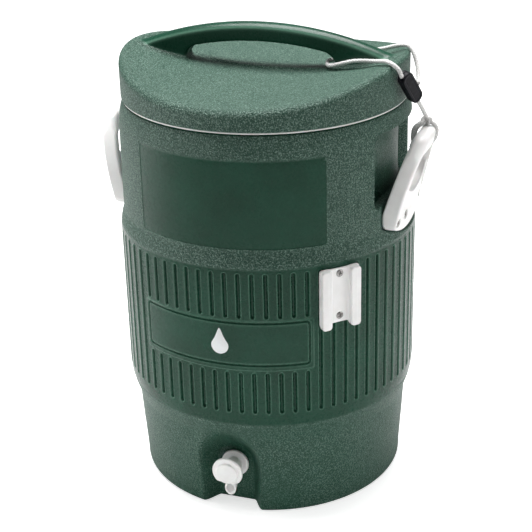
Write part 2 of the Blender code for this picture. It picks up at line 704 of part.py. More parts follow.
def screw_mesh(profile, finish):
    """Turned screw about Z, kept as a mesh that several screws share."""
    pattern = turned("screw_pattern", profile, finish, 10)
    mesh = pattern.data
    bpy.data.objects.remove(pattern)
    return mesh


def make_screws(looks):
    """Pan heads for the handles and flush countersunk heads for the bracket, so its face stays clear."""
    shank_end = [(SCREW_SHANK_RADIUS, 2.0 - SCREW_LENGTH), (0, -SCREW_LENGTH)]
    pan = screw_mesh([(0, 2.6), (2.6, 2.3), (SCREW_HEAD_RADIUS, 1.0), (SCREW_HEAD_RADIUS, GAP),
                      (SCREW_SHANK_RADIUS, GAP)] + shank_end, looks["steel"])
    flush = screw_mesh([(0, -0.1), (SCREW_HEAD_RADIUS, -0.1), (SCREW_SHANK_RADIUS, 0.5 - BRACKET_PLATE)]
                       + shank_end, looks["steel"])
    for name, at, out, seat, _ in screw_sites():
        screw = bpy.data.objects.new(name, pan if name.startswith("handle") else flush)
        bpy.context.scene.collection.objects.link(screw)
        screw.location = (at + out * seat) * MM
        screw.rotation_euler = out.to_track_quat("Z", "Y").to_euler()


# ---- cup-holder bracket ----
def make_bracket(looks):
    """Channel that a cup dispenser slides into: a flat centre between two raised rails."""
    half = BRACKET_HALF_WIDTH
    face = BRACKET_PLATE
    section = [(-half, 0), (half, 0), (half, 9.4), (half - 2.2, 10.4), (half - 10.8, 9.8),
               (half - 12.3, face), (-half + 12.3, face), (-half + 10.8, 8.4), (-half + 2.2, 9.0),
               (-half, 7.8)]
    outward = polar(1.0, BRACKET_AZIMUTH, 0.0)
    across = Vector((cos(radians(BRACKET_AZIMUTH)), sin(radians(BRACKET_AZIMUTH)), 0))
    rings = [[across * u + outward * (BRACKET_BACK + w) + Vector((0, 0, z)) for u, w in section]
             for z in (BRACKET_BOTTOM, BRACKET_TOP)]
    bracket = make_object("cup_bracket", loft(rings), looks["white"])
    hole = [(0, -5.0), (SCREW_SHANK_RADIUS + GAP, -5.0), (SCREW_SHANK_RADIUS + GAP, 0.3),
            (SCREW_HEAD_RADIUS + GAP, face - 0.1), (SCREW_HEAD_RADIUS + GAP, 6.0), (0, 6.0)]
    holes = []
    for z in BRACKET_SCREWS:
        sink = spin_profile(hole, 10)
        place = Matrix.Translation(outward * BRACKET_BACK + Vector((0, 0, z)))
        bmesh.ops.transform(sink, matrix=place @ outward.to_track_quat("Z", "Y").to_matrix().to_4x4(),
                            verts=sink.verts)
        holes.append(sink)
    boolean(bracket, as_cutter(make_object("bracket_holes", join_bmeshes(holes), smooth=False)))


# ---- tether ----
def lid_point(x, y, lift):
    return Vector((x, y, lid_height(x, y) + lift))


def smooth_path(points, per_span=4):
    """Catmull-Rom curve through the points."""
    points = [Vector(p) for p in points]
    padded = [2 * points[0] - points[1]] + points + [2 * points[-1] - points[-2]]
    path = []
    for i in range(1, len(padded) - 2):
        a, b, c, d = padded[i - 1:i + 3]
        for k in range(per_span):
            t = k / per_span
            path.append(0.5 * (2 * b + (c - a) * t + (2 * a - 5 * b + 4 * c - d) * t * t
                               + (3 * b - a - 3 * c + d) * t ** 3))
    path.append(points[-1])
    return path


def make_tether(looks):
    lift = CORD_RADIUS + 1.2
    clip_top, clip_bottom = Vector((157.0, -34.0, 469.0)), Vector((165.3, -8.0, 436.7))
    clip_along = (clip_bottom - clip_top).normalized()
    facing = polar(1.0, CLIP_AZIMUTH, 0.0)
    thin = (facing - clip_along * facing.dot(clip_along)).normalized()
    wide = clip_along.cross(thin)
    if wide.y < 0:
        wide = -wide
    front_entry = clip_top - clip_along * 0.8 - wide * 2.6
    beside = clip_top + clip_along * 28.0 + wide * 10.4
    start = lid_point(70, 0, lift + 1.5)
    front = [start, Vector((76, -13.5, 467)), Vector((102, -16, 474)), Vector((124, -18, 475.8)),
             Vector((136, -28, 479.2)), Vector((144.5, -36.5, 480.2)), Vector((152.5, -38.5, 475.5)),
             front_entry - clip_along * 1.5, front_entry]
    back = [start, Vector((76, 13.5, 467)), Vector((100, 21, 473.5)), Vector((119, 28, 476.4)),
            Vector((141, 29, 481.6)), Vector((151, 27, 478.5)), Vector((159, 20, 463.5)),
            Vector((163, 8, 452.0)), beside]
    loop = smooth_path(front[::-1] + back[1:], 3)
    make_object("tether_loop", tube_along(loop, CORD_RADIUS, 6), looks["cord"])

    rings = []
    for along, scale in ((0.0, 0.72), (2.0, 1.0), ((clip_bottom - clip_top).length - 2.0, 1.0),
                         ((clip_bottom - clip_top).length, 0.72)):
        ring = []
        for k in range(12):
            angle = 2 * pi * (k + 0.5) / 12
            ring.append(clip_top + clip_along * along
                        + scale * (4.6 * cos(angle) * thin + 7.2 * sin(angle) * wide))
        rings.append(ring)
    make_object("cord_clip", loft(rings), looks["clip"])

    ring_centre, ring_radius = Vector((171.0, 18.0, 391.5)), 16.0
    ring = [ring_centre + ring_radius * Vector((cos(a), 0, sin(a)))
            for a in (2 * pi * k / 16 for k in range(16))]
    knot = ring_centre + Vector((3.5, -1.0, ring_radius + 4.8))
    tail = smooth_path([clip_bottom + clip_along * 0.8, clip_bottom + Vector((2.5, 8.0, -9.0)), knot], 4)
    make_object("tether_tail", tube_along(tail, CORD_RADIUS, 6), looks["cord"])
    make_object("tether_knot_loop", tube_along(ring, CORD_RADIUS, 6, closed=True), looks["cord"])


def main():
    for old in list(bpy.data.objects):
        bpy.data.objects.remove(old)
    looks = make_materials()
    bore = make_body(looks)
    make_lid(looks)
    make_spigot(looks, bore)
    make_handle("handle_right", 1, looks)
    make_handle("handle_left", -1, looks)
    make_bracket(looks)
    make_screws(looks)
    make_tether(looks)


main()
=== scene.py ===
"""Looks of the insulated drinking-water jug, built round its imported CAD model.

Surfaces are worked out in millimetres in the CAD model's frame (+Z up, spigot at -Y) and turned into metres
when a mesh is made. Azimuths are degrees from the front (-Y) towards +X. Fields are distances to a surface,
negative inside it.
"""

import json
from functools import partial
from itertools import product
from math import cos, degrees, pi, radians, sin

import bpy
import numpy as np
from mathutils import Matrix, Vector

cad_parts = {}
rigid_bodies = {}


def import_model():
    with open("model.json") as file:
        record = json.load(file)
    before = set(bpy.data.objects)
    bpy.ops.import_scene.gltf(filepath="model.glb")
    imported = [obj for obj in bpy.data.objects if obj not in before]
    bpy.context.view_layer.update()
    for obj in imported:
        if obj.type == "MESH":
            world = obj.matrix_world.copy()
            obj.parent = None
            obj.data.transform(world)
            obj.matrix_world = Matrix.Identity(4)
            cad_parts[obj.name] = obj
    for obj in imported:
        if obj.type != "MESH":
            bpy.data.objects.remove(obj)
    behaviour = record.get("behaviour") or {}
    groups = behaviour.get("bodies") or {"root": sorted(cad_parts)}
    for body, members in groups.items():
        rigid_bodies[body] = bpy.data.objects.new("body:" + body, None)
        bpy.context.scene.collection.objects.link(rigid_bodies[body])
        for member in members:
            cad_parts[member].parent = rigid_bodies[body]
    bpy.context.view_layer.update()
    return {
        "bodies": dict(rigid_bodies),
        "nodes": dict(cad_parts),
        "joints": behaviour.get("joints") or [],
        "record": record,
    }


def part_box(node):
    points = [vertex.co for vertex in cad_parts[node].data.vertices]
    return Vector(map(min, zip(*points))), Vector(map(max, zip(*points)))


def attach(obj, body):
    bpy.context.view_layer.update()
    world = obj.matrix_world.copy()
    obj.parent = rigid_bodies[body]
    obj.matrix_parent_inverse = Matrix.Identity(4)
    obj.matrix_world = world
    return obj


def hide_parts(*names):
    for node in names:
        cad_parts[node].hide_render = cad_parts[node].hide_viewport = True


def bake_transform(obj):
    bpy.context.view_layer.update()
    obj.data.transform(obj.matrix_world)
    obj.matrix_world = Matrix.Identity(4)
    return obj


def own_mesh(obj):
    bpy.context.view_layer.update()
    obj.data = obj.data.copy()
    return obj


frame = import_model()

MM = 0.001
FAR = 300.0
SIDES = (("right", 1), ("left", -1))


def box_mm(node):
    """Lowest and highest corner of a CAD node, in millimetres."""
    low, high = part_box(node)
    return np.array(low) / MM, np.array(high) / MM


# ---- sizes taken from the CAD model ----
BAND_RADIUS, _, RIM_HEIGHT = box_mm("outer_shell")[1]
(_, _, LID_BOTTOM), (LID_RADIUS, _, BAR_TOP) = box_mm("lid_shell")
(HANDLE_BACK, _, HANDLE_FOOT), (HANDLE_FRONT, HANDLE_HALF_WIDTH, HANDLE_TOP) = box_mm("handle_right")
(_, BUTTON_Y, BUTTON_BOTTOM), (BUTTON_RADIUS, _, BUTTON_TOP) = box_mm("spigot_button")
SPIGOT_HEIGHT = sum(corner[2] for corner in box_mm("spigot_stem")) / 2
CLIP_CENTRE = sum(box_mm("cord_clip")) / 2
KNOT_CENTRE = sum(box_mm("tether_knot_loop")) / 2

# ---- outer shell ----
# Radius and height of the turned outline from the foot to the rim, and of the cavity.
SHELL_OUTLINE = (
    (147.2, 0.0), (147.5, 14.0), (150.4, 55.0), (152.8, 93.0), (155.6, 101.0), (158.3, 109.0),
    (160.4, 118.0), (161.0, 126.0), (161.0, 293.0), (160.6, 298.0), (159.2, 303.5), (157.0, 310.0), (156.4, 404.0),
    (155.7, 412.0), (154.4, 420.0), (152.6, 427.0), (150.4, 431.4),
)
CAVITY_OUTLINE = ((139, 3), (143.5, 8), (149, 92), (153, 114), (153, 395), (150.5, 417), (147.5, 426))
CAVITY_LEVELS = (426, 417, 410, 400, 360, 320, 302, 292, 240, 180, 130, 112, 100, 90, 75, 60, 45, 30, 15, 8)
OUTLINE_BLUR = 2.2
FOOT_ROUNDING, RIM_ROUNDING = 4.0, 1.2
RIM_CHAMFER = 0.6
SHELL_WALL = 3.0
BAND_BOTTOM, BAND_TOP = 113.0, 293.0

GROOVE_PITCH = 5.0
GROOVE_HALF_WIDTH = 2.6
GROOVE_DEPTH = 2.8
GROOVE_FLANK = 1.9
GROOVE_LIP, GROOVE_LIP_WIDTH = 0.25, 0.7
GROOVE_BOTTOM, GROOVE_TOP = 130.0, 290.5
GROOVE_LABEL_LIMIT = 35.0
GROOVE_LABEL_SPACE = 2.4

LABEL_AZIMUTH, LABEL_BOTTOM, LABEL_TOP = 32.7, 188.6, 233.4
LABEL_CORNER = 2.0
LABEL_CHANNEL_WIDTH, LABEL_CHANNEL_DEPTH, LABEL_CHANNEL_FLANK = 3.3, 1.7, 1.2
FRAME_AZIMUTH, FRAME_BOTTOM, FRAME_TOP = 34.9, 181.0, 237.4
FRAME_RISE = 0.4
EDGE_LINE = 0.55
PANEL_FLANK = 0.9
FLUTES_BELOW_LABEL = GROOVE_BOTTOM, FRAME_BOTTOM - GROOVE_LABEL_SPACE
FLUTES_ABOVE_LABEL = FRAME_TOP + GROOVE_LABEL_SPACE, GROOVE_TOP

PLATE_AZIMUTH, PLATE_BOTTOM, PLATE_TOP = 38.5, 314.0, 409.0
PLATE_CENTRE = 2.4
PLATE_CORNER = 3.0
PLATE_DEPTH = 0.25
PLATE_FADE = 6.0

POCKET_AZIMUTH, POCKET_BOTTOM, POCKET_TOP = 27.7, 335.0, 414.5
POCKET_RADIUS = 141.0
POCKET_CORNER = 9.0
POCKET_WALL = 4.0
POCKET_ARC_RADIUS = 150.0
PAD_FACE = 142.7
PAD_TOP = 345.0
PAD_WIDEST = 80.0
PAD_STEP = 60.0
HANDLE_FOOT_RISE = 13.0

SCOOP_FLOOR, SCOOP_MOUTH = 126.5, 165.0
SCOOP_FLOOR_HALF, SCOOP_MOUTH_HALF = 21.0, 46.0
SCOOP_FLOOR_TOP, SCOOP_MOUTH_TOP = 70.0, 112.0
SCOOP_REACH = 45.0
SCOOP_CORNER, SCOOP_LIP = 3.0, 7.0


def smooth_step(t):
    t = np.clip(t, 0.0, 1.0)
    return t * t * (3 - 2 * t)


def bell(t):
    return np.exp(-t ** 2)


def length(*parts):
    return np.sqrt(sum(part * part for part in parts))


def slab(value, low, high):
    """Distance to the space between two levels."""
    return np.maximum(low - value, value - high)


def soft_min(a, b, reach):
    share = np.clip(0.5 + 0.5 * (b - a) / reach, 0.0, 1.0)
    return b * (1 - share) + a * share - reach * share * (1 - share)


def soft_max(a, b, reach):
    return -soft_min(-a, -b, reach)


def round_max(a, b, radius):
    """Intersection of two fields whose shared edge is rounded."""
    corner = length(np.maximum(a + radius, 0), np.maximum(b + radius, 0))
    return np.minimum(np.maximum(a, b), -radius) + corner


def rounded_rectangle(x, y, half_x, half_y, corner):
    dx, dy = np.abs(x) - half_x + corner, np.abs(y) - half_y + corner
    return length(np.maximum(dx, 0), np.maximum(dy, 0)) + np.minimum(np.maximum(dx, dy), 0) - corner


def wrapped(azimuth):
    """Azimuth as -180 to 180."""
    return (azimuth + 180.0) % 360.0 - 180.0


def outline_radius(z):
    """Outline with its corners blurred."""
    radii, heights = zip(*SHELL_OUTLINE)
    steps = np.linspace(-OUTLINE_BLUR, OUTLINE_BLUR, 9)
    return sum(np.interp(z + s, heights, radii) for s in steps) / len(steps)


def cavity_radius(azimuth, z):
    radii, heights = zip(*CAVITY_OUTLINE)
    return np.minimum(np.interp(z, heights, radii), plain_wall(azimuth, z) - SHELL_WALL)


def scoop_radius(azimuth, z):
    """Distance from the axis at which a ray enters the arch-topped scoop round the spigot."""
    side, ahead = np.abs(np.sin(np.radians(azimuth))), np.cos(np.radians(azimuth))
    low, high = np.full(z.shape, 60.0), np.full(z.shape, 230.0)

    def outside(radius):
        share = (radius * ahead - SCOOP_FLOOR) / (SCOOP_MOUTH - SCOOP_FLOOR)
        half = SCOOP_FLOOR_HALF + (SCOOP_MOUTH_HALF - SCOOP_FLOOR_HALF) * share
        top = SCOOP_FLOOR_TOP + (SCOOP_MOUTH_TOP - SCOOP_FLOOR_TOP) * share
        return length(radius * side, np.maximum(z - (top - half), 0.0)) - half

    unreachable = (outside(high) > 0) | (ahead < 0.5)
    for _ in range(24):
        middle = (low + high) / 2
        out = outside(middle) > 0
        low, high = np.where(out, middle, low), np.where(out, high, middle)
    floor = SCOOP_FLOOR / np.maximum(ahead, 0.3)
    return np.where(unreachable, FAR, soft_max(high, floor, SCOOP_CORNER))


def panel_distance(azimuth, z, half_azimuth, bottom, top, corner, arc_radius=BAND_RADIUS):
    """Distance to the outline of a rectangle wrapped round the shell, centred on azimuth 0."""
    return rounded_rectangle(np.radians(azimuth) * arc_radius, z - (bottom + top) / 2,
                             radians(half_azimuth) * arc_radius, (top - bottom) / 2, corner)


def pocket_distance(azimuth, z):
    """Distance to the outline of the nearer handle pocket."""
    offset = np.minimum(np.abs(wrapped(azimuth - 90.0)), np.abs(wrapped(azimuth + 90.0)))
    return panel_distance(offset, z, POCKET_AZIMUTH, POCKET_BOTTOM, POCKET_TOP, POCKET_CORNER,
                          POCKET_ARC_RADIUS)


def plate_distance(azimuth, z):
    """Distance to the outline of the smooth plate on the front, which sits a little to one side."""
    return panel_distance(wrapped(azimuth - PLATE_CENTRE), z, PLATE_AZIMUTH, PLATE_BOTTOM, PLATE_TOP,
                          PLATE_CORNER)


def label_frame(azimuth, z):
    """Distances to the outline of the label's frame and to that of the panel inside it."""
    return (panel_distance(wrapped(azimuth), z, FRAME_AZIMUTH, FRAME_BOTTOM, FRAME_TOP, LABEL_CORNER),
            panel_distance(wrapped(azimuth), z, LABEL_AZIMUTH, LABEL_BOTTOM, LABEL_TOP, LABEL_CORNER))


def foot_height(y):
    """Arched lower edge of a handle."""
    return HANDLE_FOOT + HANDLE_FOOT_RISE * (np.abs(y) / HANDLE_HALF_WIDTH) ** 2.2


def pad_radius(azimuth, z):
    """Distance from the axis to the flat seat of the nearer handle; large where there is no seat."""
    sideways = np.maximum(np.abs(np.sin(np.radians(azimuth))), 0.05)
    y = PAD_FACE * np.cos(np.radians(azimuth)) / sideways
    edge = np.maximum(foot_height(np.clip(y, -PAD_WIDEST, PAD_WIDEST)) - 1.0 - z, z - PAD_TOP)
    return np.where(sideways > 0.8, PAD_FACE / sideways + PAD_STEP * smooth_step((edge + 1.0) / 2.5), FAR)


def plain_wall(azimuth, z):
    """Outer surface without the flutes and the label."""
    radius = outline_radius(z)
    inside = smooth_step(-pocket_distance(azimuth, z) / POCKET_WALL)
    radius = radius + (POCKET_RADIUS - radius) * inside
    radius = soft_min(radius, pad_radius(azimuth, z), 2.0)
    near = (np.abs(wrapped(azimuth)) < SCOOP_REACH) & (z < SCOOP_MOUTH_TOP + 20)
    return np.where(near, soft_min(radius, scoop_radius(wrapped(azimuth), z), SCOOP_LIP), radius)


def inside_groove(azimuth, z):
    """Depth inside the outline of the nearest flute, in mm; the label interrupts the flutes in front."""
    across = np.radians((azimuth % GROOVE_PITCH) - GROOVE_PITCH / 2) * BAND_RADIUS

    def run(low, high):
        beyond = z - np.clip(z, low + GROOVE_HALF_WIDTH, high - GROOVE_HALF_WIDTH)
        return GROOVE_HALF_WIDTH - length(across, beyond)

    split = np.maximum(run(*FLUTES_BELOW_LABEL), run(*FLUTES_ABOVE_LABEL))
    return np.where(np.abs(wrapped(azimuth)) < GROOVE_LABEL_LIMIT, split, run(GROOVE_BOTTOM, GROOVE_TOP))


def shell_wall(azimuth, z):
    """Outer surface with every moulded detail."""
    groove = inside_groove(azimuth, z)
    frame_edge, panel_edge = label_frame(azimuth, z)
    channel = np.minimum(panel_edge, LABEL_CHANNEL_WIDTH - panel_edge)
    radius = plain_wall(azimuth, z) - GROOVE_DEPTH * smooth_step(groove / GROOVE_FLANK)
    radius = radius + GROOVE_LIP * bell((groove + 0.5) / GROOVE_LIP_WIDTH)
    radius = radius + FRAME_RISE * smooth_step(-frame_edge / PANEL_FLANK)
    radius = radius - LABEL_CHANNEL_DEPTH * smooth_step(channel / LABEL_CHANNEL_FLANK)
    return radius - PLATE_DEPTH * smooth_step(-plate_distance(azimuth, z) / PANEL_FLANK)


def shell_painted_highlights(azimuth, z):
    """Painted highlight: 1 on the lips of the flutes and on the edges of the label's frame, 0.6 round the smooth
    plate below its faded top, where light catches the rounded edges.
    """
    frame_edge, panel_edge = label_frame(azimuth, z)
    frame = np.minimum(np.abs(frame_edge + 0.3), np.abs(panel_edge - LABEL_CHANNEL_WIDTH + 0.1))
    distance = np.minimum(np.abs(inside_groove(azimuth, z)), np.minimum(frame, np.abs(panel_edge)))
    plate = bell(plate_distance(azimuth, z) / EDGE_LINE) * (z < PLATE_TOP - PLATE_FADE)
    return np.maximum(bell(distance / EDGE_LINE), 0.6 * plate)


def shell_grain(azimuth, z):
    """1 where the shell is pebbled, 0 on the smooth panels and the fluted band."""
    band = smooth_step((z - BAND_BOTTOM) / 4.0) * (1 - smooth_step((z - BAND_TOP) / 3.0))
    pocket = smooth_step(-pocket_distance(azimuth, z) / 4.0)
    fade = np.where(z > PLATE_TOP - PLATE_FADE, 4.0, 1.2)
    grain = (1 - band) * (1 - smooth_step(-plate_distance(azimuth, z) / fade)) * (1 - 0.45 * pocket)
    scoop = smooth_step((152.0 - plain_wall(azimuth, z)) / 6.0) * (z < 110) * (np.abs(wrapped(azimuth)) < 30)
    return grain * (1 - 0.4 * scoop) * (1 - 0.3 * (z < BAND_BOTTOM))


def around(value, reach, step):
    return value - reach, value + reach, step


def shell_azimuths():
    """Columns that line up with the flanks of every flute and the edges of the panels and pockets."""
    per_mm = degrees(1 / BAND_RADIUS)
    offsets = sorted({side * reach * per_mm for reach in (0.0, 0.8, 1.3, 1.8, 2.2, 2.6, 3.0, 3.6, 4.9)
                      for side in (-1, 1)})
    flutes = [k * GROOVE_PITCH for k in range(72)]
    columns = [flute + GROOVE_PITCH / 2 + offset for flute in flutes for offset in offsets] + flutes
    fine = [(-22.0, 22.0, 0.6)]
    for side in (-1, 1):
        fine += [around(side * FRAME_AZIMUTH, 0.4, 0.14), around(side * (LABEL_AZIMUTH + 0.6), 0.9, 0.14),
                 around(side * PLATE_AZIMUTH + PLATE_CENTRE, 0.4, 0.14)]
        fine += [around(side * 90.0 + edge * 0.965, 1.6, 0.2) for edge in (-POCKET_AZIMUTH, POCKET_AZIMUTH)]
    extra = np.concatenate([np.arange(*values) for values in fine]) % 360.0
    values = np.sort(np.concatenate([np.array(columns) % 360.0, extra]))
    return values[np.concatenate([[True], np.diff(values) > 0.05])]


def shell_heights():
    """Levels of the outer surface, close together at the ends of the flutes and the edges of the panels."""
    end, plain_top = GROOVE_HALF_WIDTH, RIM_HEIGHT - RIM_ROUNDING
    split_low, split_high = FLUTES_BELOW_LABEL[1], FLUTES_ABOVE_LABEL[0]
    ranges = (
        (FOOT_ROUNDING, 94.0, 2.6), (94.0, 128.0, 1.6),
        (GROOVE_BOTTOM - 0.6, GROOVE_BOTTOM + end + 0.6, 0.45), (GROOVE_BOTTOM + end, split_low - end, 9.0),
        (split_low - end, split_low + 0.5, 0.45), around(FRAME_BOTTOM + 0.4, 0.9, 0.35),
        around(LABEL_BOTTOM - 1.7, 2.2, 0.35), (LABEL_BOTTOM + 2, LABEL_TOP - 2, 8.0),
        around(LABEL_TOP + 1.7, 2.3, 0.35),
        (split_high - 0.5, split_high + end, 0.45), (split_high + end, GROOVE_TOP - end, 8.0),
        (GROOVE_TOP - end, GROOVE_TOP + 0.6, 0.45), (GROOVE_TOP + 1.0, 297.0, 1.2),
        (297.0, 314.0, 0.8), (314.0, 350.0, 1.3), around(PLATE_BOTTOM, 1.0, 0.35), (350.0, 402.0, 4.0),
        (402.0, POCKET_TOP + 1.5, 0.7), (POCKET_TOP + 1.5, plain_top, 1.4),
        (plain_top, plain_top + 0.1, 1.0),
    )
    levels = []
    for level in np.sort(np.concatenate([np.arange(*values) for values in ranges])):
        if not levels or level - levels[-1] > 0.02:
            levels.append(level)
    return np.array(levels)


# ---- materials ----
GREEN_DEEP = (0.004, 0.036, 0.019)
GREEN_MID = (0.006, 0.050, 0.028)
GREEN_HOLLOW = (0.008, 0.046, 0.028)
# Light green of the painted glints on the pebbles.
GREEN_PAINTED_GLINT = (0.140, 0.225, 0.180)
# Light green of the painted highlights along rounded edges.
GREEN_PAINTED_HIGHLIGHT = (0.100, 0.210, 0.150)
FLOOR_LIFT = 0.6


class Nodes:
    """Short helper to wire a node tree: each call makes one node and returns its first output."""

    def __init__(self, name):
        self.material = bpy.data.materials.new(name)
        self.material.use_nodes = True
        self.tree = self.material.node_tree
        self.shader = self.tree.nodes["Principled BSDF"]
        self.place = self.node("ShaderNodeTexCoord").outputs["Object"]

    def give(self, made, inputs):
        """Links or sets the inputs of a node; a colour is given as three numbers."""
        for key, value in inputs.items():
            if isinstance(value, bpy.types.NodeSocket):
                self.tree.links.new(value, made.inputs[key])
            elif isinstance(value, tuple) and made.inputs[key].type == "RGBA":
                made.inputs[key].default_value = (*value, 1.0)
            else:
                made.inputs[key].default_value = value
        return made

    def node(self, kind, inputs=None, **settings):
        made = self.tree.nodes.new(kind)
        for key, value in settings.items():
            setattr(made, key, value)
        return self.give(made, inputs or {})

    def noise(self, scale, detail=2.0, rough=0.5, place=None):
        return self.node("ShaderNodeTexNoise", {"Vector": place or self.place, "Scale": scale,
                                                "Detail": detail, "Roughness": rough}).outputs["Fac"]

    def cells(self, scale, smooth=0.3):
        inputs = {"Vector": self.place, "Scale": scale, "Smoothness": smooth}
        return self.node("ShaderNodeTexVoronoi", inputs, feature="SMOOTH_F1").outputs["Distance"]

    def ramp(self, value, low, high, out_low=0.0, out_high=1.0):
        return self.node("ShaderNodeMapRange", {"Value": value, "From Min": low, "From Max": high,
                                                "To Min": out_low, "To Max": out_high}).outputs["Result"]

    def uneven(self, low, high, *noise):
        """Value that wanders between two limits."""
        return self.ramp(self.noise(*noise), 0.3, 0.7, low, high)

    def maths(self, operation, a, b):
        return self.node("ShaderNodeMath", {0: a, 1: b}, operation=operation).outputs[0]

    def mix(self, share, a, b):
        return self.node("ShaderNodeMix", {0: share, 6: a, 7: b}, data_type="RGBA").outputs[2]

    def attribute(self, name):
        return self.node("ShaderNodeAttribute", attribute_name=name).outputs["Fac"]

    def bump(self, height, distance, strength=1.0, **normal):
        return self.node("ShaderNodeBump", {"Height": height, "Distance": distance, "Strength": strength,
                                            **normal}).outputs["Normal"]

    def put(self, **values):
        self.give(self.shader, {key.replace("_", " "): value for key, value in values.items()})
        return self.material


def green_plastic():
    """Moulded green polyethylene: pebbled, with painted glints on the pebbles, where the grain attribute is 1,
    smoother where it is 0; painted highlights where the edge attribute is set.
    """
    n = Nodes("green_polyethylene")
    grain, edge = n.attribute("grain"), n.attribute("edge")
    pebble, crumbs, cloud = n.cells(560.0, 0.35), n.noise(820.0, 3.0, 0.62), n.noise(18.0, 3.0)
    height = n.maths("ADD", n.maths("MULTIPLY", pebble, 0.7), n.maths("MULTIPLY", crumbs, 0.6))
    # Painted highlight: light flecks on the pebbles stand in for glints of the lamps.
    painted_glint = n.ramp(n.maths("ADD", crumbs, n.maths("MULTIPLY", pebble, -0.25)), 0.36, 0.52)
    base = n.mix(n.ramp(cloud, 0.35, 0.65), GREEN_DEEP, GREEN_MID)
    speckled = n.mix(painted_glint, GREEN_HOLLOW, GREEN_PAINTED_GLINT)
    speckled = n.mix(n.ramp(cloud, 0.3, 0.7, 0.0, 0.22), speckled, GREEN_HOLLOW)
    # Painted highlight: the edge attribute lightens rounded edges towards the highlight green.
    colour = n.mix(n.maths("MULTIPLY", edge, 0.5), n.mix(grain, base, speckled), GREEN_PAINTED_HIGHLIGHT)
    smooth_rough = n.uneven(0.22, 0.34, 160.0, 4.0, 0.7)
    rough = n.node("ShaderNodeMix", {0: grain, 2: smooth_rough, 3: 0.5}, data_type="FLOAT").outputs[0]
    fine = n.bump(n.noise(420.0, 2.0), 0.00002, 0.5)
    textured = n.bump(n.maths("MULTIPLY", height, grain), 0.0013, Normal=fine)
    return n.put(Base_Color=colour, Roughness=rough, Normal=textured,
                 Specular_IOR_Level=n.ramp(grain, 0.0, 1.0, 0.2, 0.34))


def white_plastic(name, colour, shade, rough=0.36):
    """Injection-moulded white: faint orange peel, slightly uneven tone and a little grime."""
    n = Nodes(name)
    tone = n.mix(n.uneven(0.0, 1.0, 35.0, 4.0, 0.6), shade, colour)
    grime = n.ramp(n.noise(9.0, 3.0), 0.55, 0.8, 0.0, 0.25)
    return n.put(Base_Color=n.mix(grime, tone, tuple(0.9 * c for c in shade)),
                 Roughness=n.uneven(rough - 0.05, rough + 0.07, 220.0, 3.0),
                 Normal=n.bump(n.noise(900.0, 2.0), 0.00002, 0.6),
                 Subsurface_Weight=0.05, Subsurface_Scale=0.002)


def black_plastic():
    n = Nodes("black_plastic")
    tone = n.mix(n.ramp(n.noise(300.0, 4.0), 0.4, 0.75), (0.003, 0.003, 0.005), (0.012, 0.012, 0.016))
    return n.put(Base_Color=tone, Specular_IOR_Level=0.1, Roughness=n.uneven(0.35, 0.5, 180.0),
                 Normal=n.bump(n.noise(1300.0, 3.0), 0.00006, 0.7))


def rubber():
    n = Nodes("black_rubber")
    tone = n.mix(n.noise(120.0, 3.0), (0.012, 0.012, 0.013), (0.03, 0.03, 0.032))
    return n.put(Base_Color=tone, Roughness=n.uneven(0.6, 0.8, 300.0),
                 Normal=n.bump(n.noise(1600.0, 3.0), 0.00004, 0.8))


def steel():
    n = Nodes("zinc_steel")
    stretched = n.node("ShaderNodeMapping", {"Vector": n.place, "Scale": (900.0, 900.0, 90.0)}).outputs[0]
    brushed = n.noise(1.0, 3.0, place=stretched)
    tone = n.mix(n.ramp(brushed, 0.3, 0.7), (0.20, 0.19, 0.18), (0.42, 0.41, 0.40))
    return n.put(Base_Color=tone, Metallic=1.0, Roughness=n.ramp(brushed, 0.3, 0.7, 0.22, 0.42),
                 Normal=n.bump(brushed, 0.00002, 0.6))


def foam():
    n = Nodes("urethane_foam")
    tone = n.mix(n.cells(260.0), (0.70, 0.55, 0.30), (0.83, 0.72, 0.48))
    return n.put(Base_Color=tone, Roughness=n.uneven(0.85, 0.98, 90.0),
                 Normal=n.bump(n.cells(420.0), 0.0004, 0.8))


def cord():
    """Braided polyester: fine fibres over the modelled strands, darker grey in the gaps between strands."""
    n = Nodes("braided_cord")
    fibres, worn = n.noise(2600.0, 3.0, 0.7), n.ramp(n.noise(60.0, 3.0), 0.35, 0.7)
    strands = n.mix(worn, (0.70, 0.69, 0.68), (0.88, 0.88, 0.87))
    tone = n.mix(n.attribute("strand"), (0.42, 0.41, 0.40), strands)
    tone = n.mix(n.ramp(fibres, 0.3, 0.7, 0.0, 0.25), tone, (0.55, 0.54, 0.53))
    return n.put(Base_Color=tone, Roughness=0.9, Normal=n.bump(fibres, 0.00012, 0.8), Sheen_Weight=0.25)


def pale_floor():
    """Pale floor that the camera sees a little brighter than the light on it."""
    n = Nodes("pale_floor")
    seen = n.node("ShaderNodeLightPath").outputs["Is Camera Ray"]
    return n.put(Base_Color=n.mix(n.noise(3.0, 2.0), (0.90, 0.90, 0.90), (0.93, 0.93, 0.93)), Roughness=0.9,
                 Emission_Color=(1.0, 1.0, 1.0), Emission_Strength=n.maths("MULTIPLY", seen, FLOOR_LIFT))


